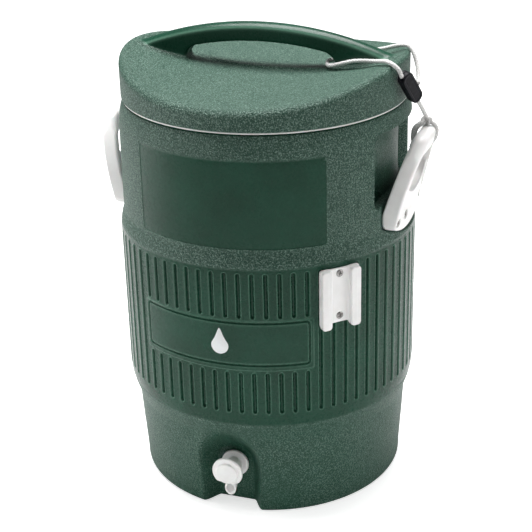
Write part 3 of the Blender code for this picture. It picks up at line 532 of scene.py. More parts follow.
# Each look's material, and the name of the record's slot that goes with it.
LOOKS = {
    "green": (green_plastic(), "green_shell"),
    "white": (white_plastic("white_polyethylene", (0.86, 0.855, 0.845), (0.76, 0.755, 0.745)),
              "white_plastic"),
    "liner": (white_plastic("liner_polyethylene", (0.84, 0.84, 0.82), (0.74, 0.74, 0.72), 0.42),
              "liner_white"),
    "mark": (white_plastic("printed_mark", (0.80, 0.82, 0.82), (0.68, 0.70, 0.70), 0.5), None),
    "clip": (black_plastic(), "clip_plastic"),
    "rubber": (rubber(), None),
    "steel": (steel(), "screw_steel"),
    "foam": (foam(), None),
    "cord": (cord(), "braided_cord"),
    "floor": (pale_floor(), None),
}
CAD_LOOKS = {
    "green": ("outer_shell", "lid_shell"),
    "white": ("handle_right", "handle_left", "cup_bracket", "spigot_body", "spigot_button", "spigot_nut",
              "spigot_stem"),
    "liner": ("inner_liner", "lid_liner"),
    "clip": ("cord_clip",),
    "rubber": ("spigot_gasket", "spigot_washer", "spigot_seal"),
    "foam": ("foam_insulation", "lid_foam"),
    "cord": ("tether_loop", "tether_tail", "tether_knot_loop"),
}


def dress_cad_nodes():
    """Gives every CAD node a procedural material; those not listed are steel."""
    looks = {node: look for look, nodes in CAD_LOOKS.items() for node in nodes}
    for name, node in frame["nodes"].items():
        material = LOOKS[looks.get(name, "steel")][0]
        if not node.data.materials:
            node.data.materials.append(material)
        for slot in node.material_slots:
            slot.link, slot.material = "OBJECT", material


# ---- mesh helpers ----
def detail(full, quick):
    """Size of the steps that a shape is sampled in."""
    return full


def mesh_object(name, points, faces, look, attributes=None, sharp=None):
    """Object in metres from points in millimetres and a list of arrays of faces with equally many sides."""
    mesh = bpy.data.meshes.new(name)
    points = np.asarray(points, np.float64) * MM
    sizes = np.concatenate([np.full(len(f), f.shape[1], np.int32) for f in faces])
    corners = np.concatenate([f.ravel() for f in faces]).astype(np.int32)
    mesh.vertices.add(len(points))
    mesh.vertices.foreach_set("co", points.astype(np.float32).ravel())
    mesh.loops.add(len(corners))
    mesh.loops.foreach_set("vertex_index", corners)
    mesh.polygons.add(len(sizes))
    mesh.polygons.foreach_set("loop_start", np.concatenate([[0], np.cumsum(sizes)[:-1]]).astype(np.int32))
    mesh.polygons.foreach_set("loop_total", sizes)
    mesh.update(calc_edges=True)
    mesh.validate()
    mesh.shade_smooth()
    if sharp is not None:
        mesh.set_sharp_from_angle(angle=radians(sharp))
    for key, values in (attributes or {}).items():
        mesh.attributes.new(key, "FLOAT", "POINT").data.foreach_set("value", np.asarray(values, np.float32))
    mesh.materials.append(LOOKS[look][0])
    made = bpy.data.objects.new(name, mesh)
    bpy.context.scene.collection.objects.link(made)
    return made


def piece(name, points, faces, look, body, node="", attributes=None, sharp=None):
    """Piece that rides on a body and stands for a CAD node, by default the one it is named after."""
    made = mesh_object("jug_" + name, points, faces, look, attributes, sharp)
    if body:
        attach(made, body)
    if node is not None:
        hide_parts(node or name)
    return made


def grid_faces(rows, columns):
    """Quads of a grid numbered row by row, whose columns close on themselves."""
    r = np.arange(rows - 1)[:, None] * columns
    c = np.arange(columns)[None, :]
    n = (c + 1) % columns
    return np.stack([r + c, r + n, r + columns + n, r + columns + c], axis=-1).reshape(-1, 4)


def fan_faces(ring_start, columns, centre):
    c = np.arange(columns)
    return np.stack([np.full(columns, centre), ring_start + (c + 1) % columns, ring_start + c], axis=-1)


def capped(rings, first, last):
    """Points and faces of a row of equal rings, each end closed by a fan round a point."""
    count, columns = len(rings), len(rings[0])
    centre = count * columns
    return np.concatenate([*rings, [first, last]]), [
        grid_faces(count, columns), fan_faces(0, columns, centre),
        fan_faces((count - 1) * columns, columns, centre + 1)[:, ::-1]]


def on_circle(radius, azimuth, z):
    a = np.radians(azimuth)
    return np.stack([radius * np.sin(a), -radius * np.cos(a), np.broadcast_to(z, radius.shape)], axis=-1)


def surface_net(field, low, high, step):
    """Closed quad surface where field(x, y, z) is zero, sampled in a box."""
    low, high = np.array(low, float), np.array(high, float)
    axes = [np.arange(a, b + step, step) for a, b in zip(low, high)]
    values = field(*np.meshgrid(*axes, indexing="ij")).astype(np.float32)
    inside = values < 0
    cells = tuple(n - 1 for n in values.shape)
    count = np.zeros(cells, np.int8)
    offsets = list(product((0, 1), repeat=3))
    for o in offsets:
        count += inside[tuple(slice(k, k + n) for k, n in zip(o, cells))]
    active = (count > 0) & (count < 8)
    at = np.argwhere(active)
    number = np.full(cells, -1, np.int64)
    number[active] = np.arange(len(at))
    # Each active cell's point is the mean of where the surface crosses the cell's edges.
    corner = {o: values[tuple((at + o).T)] for o in offsets}
    total, hits = np.zeros((len(at), 3)), np.zeros(len(at))
    for a in offsets:
        for axis in range(3):
            if a[axis] == 0:
                b = tuple(1 if k == axis else a[k] for k in range(3))
                crossing = (corner[a] < 0) != (corner[b] < 0)
                share = corner[a] / np.where(crossing, corner[a] - corner[b], 1.0)
                where = np.array(a, float) + np.outer(share, np.eye(3)[axis])
                total += np.where(crossing[:, None], where, 0.0)
                hits += crossing
    points = low + (at + total / hits[:, None]) * step
    # Each edge of the grid that the surface crosses gives a quad between the four cells round it.
    faces = []
    for axis in range(3):
        u, v = (axis + 1) % 3, (axis + 2) % 3
        first = [slice(0, n) for n in values.shape]
        second = list(first)
        first[axis], second[axis] = slice(0, -1), slice(1, None)
        for k in (u, v):
            first[k] = second[k] = slice(1, values.shape[k] - 1)
        edge = np.argwhere(inside[tuple(first)] != inside[tuple(second)])
        edge[:, u] += 1
        edge[:, v] += 1
        outward = inside[tuple(edge.T)]
        quad = []
        for du, dv in ((-1, -1), (0, -1), (0, 0), (-1, 0)):
            cell = edge.copy()
            cell[:, u] += du
            cell[:, v] += dv
            quad.append(number[tuple(cell.T)])
        quad = np.stack(quad, axis=-1)
        quad[~outward] = quad[~outward][:, ::-1]
        faces.append(quad)
    return settle(points, field, step), np.concatenate(faces)


def settle(points, field, step):
    """Moves points onto the surface along the field's gradient."""
    reach = step * 0.05
    for _ in range(3):
        value = field(*points.T)
        slope = np.stack([(field(*(points + d).T) - field(*(points - d).T)) / (2 * reach)
                          for d in np.eye(3) * reach], axis=-1)
        move = -(value / np.maximum((slope ** 2).sum(axis=-1), 0.25))[:, None] * slope
        points = points + np.clip(move, -0.5 * step, 0.5 * step)
    return points


# ---- body shell ----
def make_shell():
    azimuth, heights = shell_azimuths(), shell_heights()
    rings, grains, edges = [], [], []

    def level(z):
        return azimuth, np.full(len(azimuth), z)

    def add(radius, z, grain=0.0, edge=0.0):
        radius, grain, edge = (np.broadcast_to(values, azimuth.shape) for values in (radius, grain, edge))
        rings.append(on_circle(radius, azimuth, z))
        grains.append(grain)
        edges.append(edge)

    foot, foot_grain = shell_wall(*level(FOOT_ROUNDING)), shell_grain(*level(FOOT_ROUNDING))
    for share in (0.12, 0.5, 0.85):
        add((foot - FOOT_ROUNDING) * share, 0.0, foot_grain)
    for turn in range(0, 90, 18):
        a = radians(turn)
        add(foot - FOOT_ROUNDING * (1 - sin(a)), FOOT_ROUNDING * (1 - cos(a)), foot_grain)
    for z in heights:
        add(shell_wall(*level(z)), z, shell_grain(*level(z)), shell_painted_highlights(*level(z)))
    rim = shell_wall(*level(heights[-1]))
    for turn in (30, 60, 90):
        a = radians(turn)
        add(rim - RIM_ROUNDING * (1 - cos(a)), heights[-1] + RIM_ROUNDING * sin(a))
    mouth = CAVITY_OUTLINE[-1][0]
    add(mouth + RIM_CHAMFER, RIM_HEIGHT)
    add(mouth, RIM_HEIGHT - RIM_CHAMFER)
    for z in CAVITY_LEVELS:
        add(cavity_radius(*level(z)), z)
    floor = np.minimum(CAVITY_OUTLINE[0][0], plain_wall(*level(5.0)) - SHELL_WALL)
    for share in (1.0, 0.5, 0.12):
        add(floor * share, SHELL_WALL)
    ends = np.zeros(2)
    # The edge attribute carries painted highlights on the flute lips, the label's frame and the plate's outline.
    piece("outer_shell", *capped(rings, (0, 0, 0), (0, 0, SHELL_WALL)), "green", "jug_body",
          attributes={"grain": np.concatenate(grains + [ends]), "edge": np.concatenate(edges + [ends])})


# ---- lid ----
LID_VALLEY = 458.6
LID_EDGE = 7.5
LID_TOP_WALL, LID_SIDE_WALL = 3.4, 3.2
LID_MARGIN = 3.0
SADDLE_RISE, SADDLE_END_RISE, SADDLE_FALL = 4.87e-4, 2.1e-8, 2.0e-4
STEP_HEIGHT, STEP_HALF_LENGTH = 1.7, 76.0
BAR_HALF_WIDTH, BAR_HALF_LENGTH, BAR_THICKNESS = 9.6, 141.0, 17.5
BAR_END_HEIGHT = 477.0
BAR_CROWN = 4.4
# Width and strength of the painted highlight along the bar's top edges.
BAR_EDGE_LINE, BAR_EDGE_SHINE = 1.9, 1.7
BAR_WINDOW, BAR_WINDOW_CORNER = (-86.0, 80.0), 13.0
BAR_ROUNDING, BAR_FILLET = 5.5, 7.0


def lid_height(x, y):
    """Saddle-shaped top, with the low step that the mould leaves below the bar."""
    line = -12.0 + 24.0 * np.clip((30.0 - x) / 110.0, 0.0, 1.0) ** 3
    step = STEP_HEIGHT * smooth_step((y - line) / 3.5) * (1 - smooth_step((y - 12.0) / 60.0))
    step = step * (1 - smooth_step((np.abs(x + 3.0) - STEP_HALF_LENGTH) / 10.0))
    return LID_VALLEY + SADDLE_RISE * x * x + SADDLE_END_RISE * x ** 4 - SADDLE_FALL * y * y + step


def bar_arc():
    """Radius and centre height of the arc along the top of the bar."""
    sag = BAR_TOP - BAR_END_HEIGHT
    radius = (BAR_HALF_LENGTH ** 2 + sag ** 2) / (2 * sag)
    return radius, BAR_TOP - radius


def bar_field(x, y, z):
    radius, centre = bar_arc()
    over = length(x, z - centre) - radius
    over = over + BAR_CROWN * np.minimum(np.abs(y) / BAR_HALF_WIDTH, 1.3) ** 2.2
    window = round_max(over + BAR_THICKNESS, slab(x, *BAR_WINDOW), BAR_WINDOW_CORNER)
    flare = 0.04 * np.maximum(BAR_TOP - 20 - z, 0)
    sides = round_max(np.abs(y) - BAR_HALF_WIDTH - flare, -window, BAR_ROUNDING)
    foot = np.maximum(LID_VALLEY - 8.0 - z, np.abs(x) - BAR_HALF_LENGTH)
    return np.maximum(round_max(sides, over, 1.4), foot)


def lid_top_field(x, y, z):
    return round_max((z - lid_height(x, y)) * 0.98, length(x, y) - LID_RADIUS, LID_EDGE)


def lid_field(x, y, z):
    outer = soft_min(lid_top_field(x, y, z), bar_field(x, y, z), BAR_FILLET)
    outer = round_max(outer, LID_BOTTOM - z, 1.0)
    side = length(x, y) - LID_RADIUS + LID_SIDE_WALL
    return np.maximum(outer, -round_max(z - lid_height(x, y) + LID_TOP_WALL, side, LID_EDGE - 3.0))


def make_lid_shell():
    reach = LID_RADIUS + LID_MARGIN
    points, quads = surface_net(lid_field, (-reach, -reach, LID_BOTTOM - LID_MARGIN),
                                (reach, reach, BAR_TOP + LID_MARGIN), detail(1.25, 2.0))
    x, y, z = points.T
    top, bar = lid_top_field(x, y, z), bar_field(x, y, z)
    on_bar = smooth_step((top - bar + 1.0) / 5.0)
    inside = (top < -1.5) & (bar > -1.5)
    radius, centre = bar_arc()
    below = radius - BAR_CROWN - length(x, z - centre)
    off_edge = length(np.abs(y) - BAR_HALF_WIDTH, np.clip(below, -9.0, 9.0))
    # Painted highlight along the bar's top edges, carried in the edge attribute.
    edge = BAR_EDGE_SHINE * on_bar * bell(off_edge / BAR_EDGE_LINE)
    piece("lid_shell", points, [quads], "green", "lid",
          attributes={"grain": np.where(inside, 0.0, 1 - on_bar), "edge": np.where(inside, 0.0, edge)})


def make_lid_liner():
    """White tray under the lid: a shallow plug and a thin flange, seen as the line at the seam."""
    (_, _, floor), (rim, _, top) = box_mm("lid_liner")
    rim -= 0.7
    plug, flange = 129.3, top - 1.5
    outline = ((plug - 5, floor), (plug - 2.5, floor + 1), (plug - 1, floor + 4), (plug, flange - 3),
               (plug + 3, flange), (rim - 0.4, flange), (rim, flange + 0.4), (rim, top - 0.4),
               (rim - 0.4, top), (plug + 1.5, top), (plug - 2.5, flange - 3), (plug - 3.5, floor + 4.5),
               (plug - 6, floor + 2.5))
    azimuth = np.arange(160) * 360.0 / 160
    rings = [on_circle(np.full(len(azimuth), radius), azimuth, z) for radius, z in outline]
    piece("lid_liner", *capped(rings, (0, 0, floor), (0, 0, floor + 2.5)), "liner", "lid", sharp=40)


# ---- handles ----
HANDLE_FACE, HANDLE_FACE_FOOT, HANDLE_FACE_LEAN = 157.0, 311.0, 0.22
HANDLE_CROWN, HANDLE_CROWN_GROWTH = 4.9, 1.3
HANDLE_BEND, HANDLE_LEAN = 326.0, 0.31
HANDLE_TAPER = 0.006
HANDLE_ARM, HANDLE_WEB = 8.0, 3.0
HANDLE_MARGIN = 3.0
GRIP_BOTTOM = 378.0
SILL, SILL_RISE, SILL_HALF, WINDOW_TOP = 340.0, 15.0, 45.0, 382.0
SLOT_BOTTOM, SLOT_TOP = 362.0, 383.5
PANEL_FADE, PANEL_DEPTH = 314.0, 2.6
HANDLE_SCREWS = ((-51.0, 317.0), (51.0, 317.0), (-30.0, 319.0), (30.0, 319.0))
SCREW_SINK, SCREW_HOLE, SCREW_WELL = 3.0, 2.4, 4.9


def handle_outer(y, z):
    """Outward face of a handle: crowned across its width and leaning out towards the grip."""
    above = z - HANDLE_FACE_FOOT
    crown = HANDLE_CROWN + HANDLE_CROWN_GROWTH * np.clip(above / 80.0, 0, 1)
    return HANDLE_FACE + HANDLE_FACE_LEAN * above + crown * (1 - (y / HANDLE_HALF_WIDTH) ** 2)


def handle_field(x, y, z):
    """Arched handle with a recessed face, a blind window in it and a slot through it below the grip."""
    aside, above = np.abs(y), np.maximum(z - HANDLE_BEND, 0.0)
    slope = np.sqrt(1 + (2 * HANDLE_TAPER * above) ** 2)
    side = (aside - HANDLE_HALF_WIDTH + HANDLE_TAPER * above ** 2) / slope
    opening = side + HANDLE_ARM
    panel = soft_max(opening, z - WINDOW_TOP, 2.0)
    recess = PANEL_DEPTH * smooth_step(-panel / 2.0) * smooth_step((z - PANEL_FADE) / 18.0)
    outer = (x - handle_outer(y, z) + recess) * 0.97
    back = HANDLE_BACK + HANDLE_LEAN * above
    outline = round_max(side, slab(z, foot_height(y), HANDLE_TOP), 6.0)
    grip = smooth_step((z - GRIP_BOTTOM) / 10.0)
    solid = np.maximum(round_max(outer, outline, 2.0 + 6.5 * grip),
                       round_max((back - x) * 0.96, outline, 2.0 + 3.0 * grip))

    sill = SILL + SILL_RISE * (aside / SILL_HALF) ** 2.4
    window = round_max(round_max(opening, (sill - z) * 0.85, 4.0), z - WINDOW_TOP, 5.0)
    hollow = round_max(window, (back + HANDLE_WEB - x) * 0.96, 2.0)
    slot = round_max(opening, slab(z, SLOT_BOTTOM, SLOT_TOP), 4.0)
    solid = round_max(round_max(solid, -hollow, 1.4), -slot, 1.2)
    for at_y, at_z in HANDLE_SCREWS:
        away = length(y - at_y, z - at_z)
        well = np.maximum(away - SCREW_WELL, handle_outer(at_y, at_z) - SCREW_SINK - x)
        solid = np.maximum(round_max(solid, -well, 0.6), SCREW_HOLE - away)
    return solid


def make_handles():
    low = np.array((HANDLE_BACK, -HANDLE_HALF_WIDTH, HANDLE_FOOT)) - HANDLE_MARGIN
    high = np.array((HANDLE_FRONT, HANDLE_HALF_WIDTH, HANDLE_TOP)) + HANDLE_MARGIN
    points, quads = surface_net(handle_field, low, high, detail(0.9, 1.8))
    for side, sign in SIDES:
        piece("handle_" + side, points * (sign, 1, 1), [quads[:, ::sign]], "white", "jug_body")


# ---- cup-dispenser bracket ----
BRACKET_AZIMUTH = radians(44.5)
BRACKET_OUT = np.array((sin(BRACKET_AZIMUTH), -cos(BRACKET_AZIMUTH), 0.0))
BRACKET_ACROSS = np.array((cos(BRACKET_AZIMUTH), sin(BRACKET_AZIMUTH), 0.0))
BRACKET_BACK = 161.6
BRACKET_PLATE = 2.4
BRACKET_HALF_WIDTH = 21.8
BRACKET_BOTTOM, BRACKET_TOP = 224.5, 289.5
BRACKET_SCREWS = (236.9, 283.7)
RAIL_DROP = 5.0
RAIL_INNER, RAIL_LEFT, RAIL_RIGHT = 10.5, 7.6, 8.8


def bracket_frame(u, w, z):
    """Points u across the bracket, w out from its back, at height z."""
    return np.outer(u, BRACKET_ACROSS) + np.outer(BRACKET_BACK + w, BRACKET_OUT) + np.outer(z, (0, 0, 1))


def bracket_field(u, w, z):
    """Flat centre between two broad rails that stand out, the rails reaching a little lower."""
    ends = slab(z, BRACKET_BOTTOM + RAIL_DROP, BRACKET_TOP)
    outline = round_max(np.abs(u) - BRACKET_HALF_WIDTH, ends, 1.5)
    plate = round_max(outline, slab(w, 0.0, BRACKET_PLATE), 0.7)

    def rail(left, right, height):
        ends = round_max(slab(u, left, right), slab(z, BRACKET_BOTTOM, BRACKET_TOP), 3.5)
        return round_max(ends, np.maximum(-w, w - height + 0.06 * np.abs(u - (left + right) / 2)), 1.3)

    solid = soft_min(plate, rail(-BRACKET_HALF_WIDTH, -RAIL_INNER, RAIL_LEFT), 3.0)
    solid = soft_min(solid, rail(RAIL_INNER, BRACKET_HALF_WIDTH, RAIL_RIGHT), 3.0)
    for at in BRACKET_SCREWS:
        sink = np.maximum(length(u, z - at) - np.clip(2.3 + (w - 0.3), 2.3, 4.35), -1.0 - w)
        solid = np.maximum(solid, -sink)
    return solid


def make_bracket():
    half = BRACKET_HALF_WIDTH + 2
    points, quads = surface_net(bracket_field, (-half, -2, BRACKET_BOTTOM - 2), (half, 13, BRACKET_TOP + 2),
                                detail(0.5, 1.0))
    piece("cup_bracket", bracket_frame(*points.T), [quads[:, ::-1]], "white", "jug_body", sharp=60)


# ---- screws ----
SCREW_LENGTH, SCREW_RADIUS, SCREW_PITCH = 20.0, 1.9, 1.6
HEAD_RADIUS, CONE_RADIUS = 4.0, 4.1
CROSS_HALF_WIDTH, CROSS_REACH, CROSS_DEPTH = 0.55, 2.4, 2.3


def screw_field(x, y, z, flush):
    """Cross-recessed screw about Z with its seat at zero; a flush one has a countersunk, crowned head."""
    away = length(x, y)
    thread = SCREW_RADIUS + 0.17 * np.cos(2 * pi * z / SCREW_PITCH - np.arctan2(y, x))
    point = 0.55 * np.maximum(4.0 - SCREW_LENGTH - z, 0)
    shank = np.maximum(away - thread + point, -SCREW_LENGTH - z)
    if flush:
        cone = np.maximum(away - HEAD_RADIUS, (away - CONE_RADIUS - z) * 0.7)
        head, face = np.maximum(np.maximum(length(away, z + 8.0) - 8.9, cone), -2.2 - z), 0.9
    else:
        dome = round_max(length(away, z + 2.6) - 5.2, away - HEAD_RADIUS, 0.5)
        head, face = np.maximum(dome, 0.25 - z), 2.6

    def arm(a, b):
        return np.maximum(np.abs(a) - CROSS_HALF_WIDTH, np.abs(b) - CROSS_REACH)

    cross = soft_min(np.minimum(arm(x, y), arm(y, x)), away - 0.9, 0.3)
    cross = np.maximum(cross, face - CROSS_DEPTH + 0.4 * away - z)
    return round_max(np.minimum(np.maximum(shank, z - 0.6), head), -cross, 0.15)


def make_screws():
    low, high = (-4.6, -4.6, -SCREW_LENGTH - 0.8), (4.6, 4.6, 3.2)
    shapes = [surface_net(partial(screw_field, flush=flush), low, high, detail(0.22, 0.4))
              for flush in (False, True)]
    sites = []
    for side, sign in SIDES:
        for number, (y, z) in enumerate(HANDLE_SCREWS, 1):
            seat = np.array((sign * (handle_outer(y, z) - SCREW_SINK), y, z))
            sites.append((f"handle_screw_{side}_{number}", seat, (sign, 0, 0), False))
    for where, z in zip(("bottom", "top"), BRACKET_SCREWS):
        sites.append(("bracket_screw_" + where, bracket_frame(0.0, BRACKET_PLATE, z), BRACKET_OUT, True))
    for index, (name, seat, out, flush) in enumerate(sites):
        points, quads = shapes[flush]
        spin = Matrix.Rotation(radians(37.0 * index + 10.0), 3, "Z")
        turn = Vector(out).to_track_quat("Z", "Y").to_matrix() @ spin
        piece(name, points @ np.array(turn).T + seat, [quads], "steel", "jug_body", sharp=50)


# ---- spigot; ahead is the distance in front of the jug's axis ----
SHANK_END, SHANK_RADIUS, SHANK_PITCH = 100.0, 9.75, 2.6
FLANGE_BACK, FLANGE_FRONT, FLANGE_RADIUS = 128.3, 131.4, 15.4
BARREL_FRONT, BARREL_RADIUS = 148.5, 8.0
BORE_RADIUS, STEM_HOLE = 5.5, 2.8
WEB_BACK, WEB_FRONT = 136.5, 139.0
SPOUT_NECK = ((136.2, 44.0), (137.5, 33.0))
SPOUT_MOUTH = (148.0, 26.0)
SPOUT_SLOPE = radians(50.0)
SPOUT_RADIUS, SPOUT_BORE = 6.4, 4.3
BUTTON_FRONT, BUTTON_BACK = -BUTTON_Y, 152.5
DISC_RADIUS, DISC_RISE = 12.0, 1.2
BOSS_RADIUS, BOSS_BACK = 3.9, 145.5
SPRING_SEAT, SPRING_FRONT = 139.6, 152.0
SPRING_RADIUS, SPRING_WIRE, SPRING_TURNS = 4.7, 0.4, 5


def spigot_field(x, ahead, z):
    up = z - SPIGOT_HEIGHT
    away = length(x, up)
    thread = SHANK_RADIUS + 0.3 * np.cos(2 * pi * ahead / SHANK_PITCH - np.arctan2(up, x))
    shank = np.maximum(away - thread, slab(ahead, SHANK_END, FLANGE_FRONT))
    flange = round_max(away - FLANGE_RADIUS, slab(ahead, FLANGE_BACK, FLANGE_FRONT), 1.1)
    barrel = round_max(away - BARREL_RADIUS, slab(ahead, FLANGE_BACK, BARREL_FRONT), 0.8)
    solid = soft_min(np.minimum(shank, flange), barrel, 1.2)
    (neck_ahead, neck_top), (elbow_ahead, elbow_z) = SPOUT_NECK
    run, rise = elbow_ahead - neck_ahead, elbow_z - neck_top
    share = ((ahead - neck_ahead) * run + (z - neck_top) * rise) / (run * run + rise * rise)
    share = np.clip(share, 0.0, 1.0)
    neck = length(x, ahead - neck_ahead - run * share, z - neck_top - rise * share)
    lean, drop = sin(SPOUT_SLOPE), cos(SPOUT_SLOPE)
    out, below = ahead - SPOUT_MOUTH[0], SPOUT_MOUTH[1] - z
    along = lean * out + drop * below
    from_axis = length(x, drop * out - lean * below)
    spout = soft_min(np.maximum(from_axis - SPOUT_RADIUS, -along - 13.0), neck - SPOUT_RADIUS - 0.3, 2.0)
    solid = soft_min(solid, round_max(spout, ahead - SPOUT_MOUTH[0], 0.7), 1.5)
    solid = round_max(solid, -np.maximum(from_axis - SPOUT_BORE, -along - 12.0), 0.5)
    bore = np.maximum(away - BORE_RADIUS, -slab(ahead, WEB_BACK, WEB_FRONT))
    return np.maximum(np.maximum(solid, -bore), STEM_HOLE - away)


def button_field(x, ahead, z):
    """Round button with a flat lower edge, a raised disc in front and a socket for the stem behind."""
    centre, front = BUTTON_TOP - BUTTON_RADIUS, ahead - BUTTON_FRONT
    rim = round_max(length(x, z - centre) - BUTTON_RADIUS, BUTTON_BOTTOM - z, 2.5)
    plate = round_max(rim, np.maximum(BUTTON_BACK - ahead, front + DISC_RISE), 1.6)
    disc = round_max(length(x, z - centre + 0.6) - DISC_RADIUS,
                     np.maximum(BUTTON_BACK - ahead, front - DISC_RISE), 1.5)
    away = length(x, z - SPIGOT_HEIGHT)
    boss = np.maximum(away - BOSS_RADIUS, slab(ahead, BOSS_BACK, BUTTON_FRONT))
    solid = np.minimum(soft_min(plate, disc, 1.2), boss)
    return np.maximum(solid, -np.maximum(away - STEM_HOLE, ahead - 154.5))


def spring_shape():
    """Round wire wound about the spigot's axis, from the web in the barrel to the back of the button."""
    turn = np.linspace(0, 2 * pi * SPRING_TURNS, 24 * SPRING_TURNS + 1)
    ahead = SPRING_SEAT + (SPRING_FRONT - SPRING_SEAT) * turn / turn[-1]
    wire = np.arange(10) * 2 * pi / 10
    reach = SPRING_RADIUS + SPRING_WIRE * np.cos(wire)
    rings = np.stack([np.outer(np.cos(turn), reach), -ahead[:, None] - SPRING_WIRE * np.sin(wire)[None, :],
                      SPIGOT_HEIGHT + np.outer(np.sin(turn), reach)], axis=-1)
    return capped(rings, rings[0].mean(axis=0), rings[-1].mean(axis=0))


def make_spigot():
    for name, body, field, low, high in (
            ("spigot_body", "jug_body", spigot_field, (-17, SHANK_END - 2, 8), (17, 152, 66)),
            ("spigot_button", "push_button", button_field, (-19, 143, 36), (19, 161, 71))):
        points, quads = surface_net(field, low, high, detail(0.5, 0.9))
        piece(name, points * (1, -1, 1), [quads[:, ::-1]], "white", body, sharp=60)
    spring = piece("spigot_spring", *spring_shape(), "steel", "jug_body")
    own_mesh(spring)


# ---- tether ----
CORD_RADIUS, CORD_RELIEF, CORD_PITCH = 2.2, 0.42, 6.5
CLIP_AZIMUTH = radians(54.0)
CLIP_LENGTH, CLIP_HALF_WIDTH, CLIP_HALF_THICKNESS = 42.3, 7.2, 4.6
RING_CENTRE = KNOT_CENTRE + (-0.8, 0.0, 0.8)
RING_WIDE, RING_TALL, RING_LEAN, RING_SQUARE = 11.2, 12.4, 2.4, 0.86
KNOT_SIZE = 1.55
FRINGE_HAIRS = 16


def unit(v):
    return v / np.linalg.norm(v)


CLIP_ALONG = unit(np.array((8.3, 26.0, -32.3)))
CLIP_TOP = CLIP_CENTRE - CLIP_ALONG * CLIP_LENGTH / 2
CLIP_BOTTOM = CLIP_TOP + CLIP_ALONG * CLIP_LENGTH
CLIP_FACING = np.array((sin(CLIP_AZIMUTH), -cos(CLIP_AZIMUTH), 0.0))
CLIP_THIN = unit(CLIP_FACING - CLIP_ALONG * CLIP_FACING.dot(CLIP_ALONG))
CLIP_WIDE = np.cross(CLIP_ALONG, CLIP_THIN)
CLIP_WIDE = CLIP_WIDE * np.sign(CLIP_WIDE[1])


def smooth_path(points, spacing):
    """Catmull-Rom curve through the points, resampled at an even spacing."""
    points = np.array(points, float)
    padded = np.concatenate([[2 * points[0] - points[1]], points, [2 * points[-1] - points[-2]]])
    path = []
    for a, b, c, d in zip(padded, padded[1:], padded[2:], padded[3:]):
        for t in np.linspace(0, 1, 24, endpoint=False):
            path.append(0.5 * (2 * b + (c - a) * t + (2 * a - 5 * b + 4 * c - d) * t * t
                               + (3 * b - a - 3 * c + d) * t ** 3))
    path = np.array(path + [points[-1]])
    run = np.concatenate([[0], np.cumsum(np.linalg.norm(np.diff(path, axis=0), axis=1))])
    even = np.linspace(0, run[-1], max(4, int(run[-1] / spacing)))
    return np.stack([np.interp(even, run, path[:, k]) for k in range(3)], axis=-1)


def braided_tube(path, radius=CORD_RADIUS, sides=20, closed=False, strands=4, taper=0.0):
    """Points, faces and strand relief of a cord braided from strands wound against each other."""
    count = len(path)
    ahead = np.roll(path, -1, axis=0) - np.roll(path, 1, axis=0) if closed else np.gradient(path, axis=0)
    ahead = ahead / np.linalg.norm(ahead, axis=1, keepdims=True)
    normal = unit(np.cross(ahead[0], (0.3, 0.2, 0.9)))
    spacing = np.linalg.norm(path[1] - path[0])
    turns = np.arange(sides) * 2 * pi / sides
    rings, relief = [], []
    for i in range(count):
        normal = unit(normal - ahead[i] * normal.dot(ahead[i]))
        side = np.cross(ahead[i], normal)
        run = 2 * pi * i * spacing / CORD_PITCH
        one, other = strands * turns / 2 + run, strands * turns / 2 - run
        height = np.where(np.cos(other) > 0, np.abs(np.sin(one)), np.abs(np.sin(other)))
        from_end = FAR if closed else min(i, count - 1 - i) * spacing
        thick = (radius - CORD_RELIEF + CORD_RELIEF * height) * (1 - taper * max(0.0, 1 - from_end / 2.0))
        around_path = np.outer(np.cos(turns), normal) + np.outer(np.sin(turns), side)
        rings.append(path[i] + thick[:, None] * around_path)
        relief.append(height)
    if closed:
        faces = grid_faces(count + 1, sides) % (count * sides)
        return np.concatenate(rings), [faces], np.concatenate(relief)
    return *capped(rings, path[0], path[-1]), np.concatenate([*relief, [0.5, 0.5]])


def add_cord(name, tubes, body, node=""):
    """One cord piece from braided tubes."""
    points, faces, relief, start = [], [], [], 0
    for tube_points, tube_faces, tube_relief in tubes:
        points.append(tube_points)
        relief.append(tube_relief)
        faces += [f + start for f in tube_faces]
        start += len(tube_points)
    return piece(name, np.concatenate(points), faces, "cord", body, node,
                 attributes={"strand": np.concatenate(relief)})


def clip_field(along, thin, wide):
    """Crimp sleeve: a flat-sided stadium with a sunk panel on its broad faces and a seam round it."""
    half = CLIP_LENGTH / 2
    outline = rounded_rectangle(along, wide, half, CLIP_HALF_WIDTH, 6.6)
    panel = rounded_rectangle(along, wide, half - 2.2, 5.0, 4.6)
    thick = np.abs(thin) - CLIP_HALF_THICKNESS + 0.55 * smooth_step(-panel / 0.7)
    seam = np.maximum(np.abs(thin) - 0.3, -outline - 0.6)
    return np.maximum(round_max(outline, thick, 0.9), -seam)


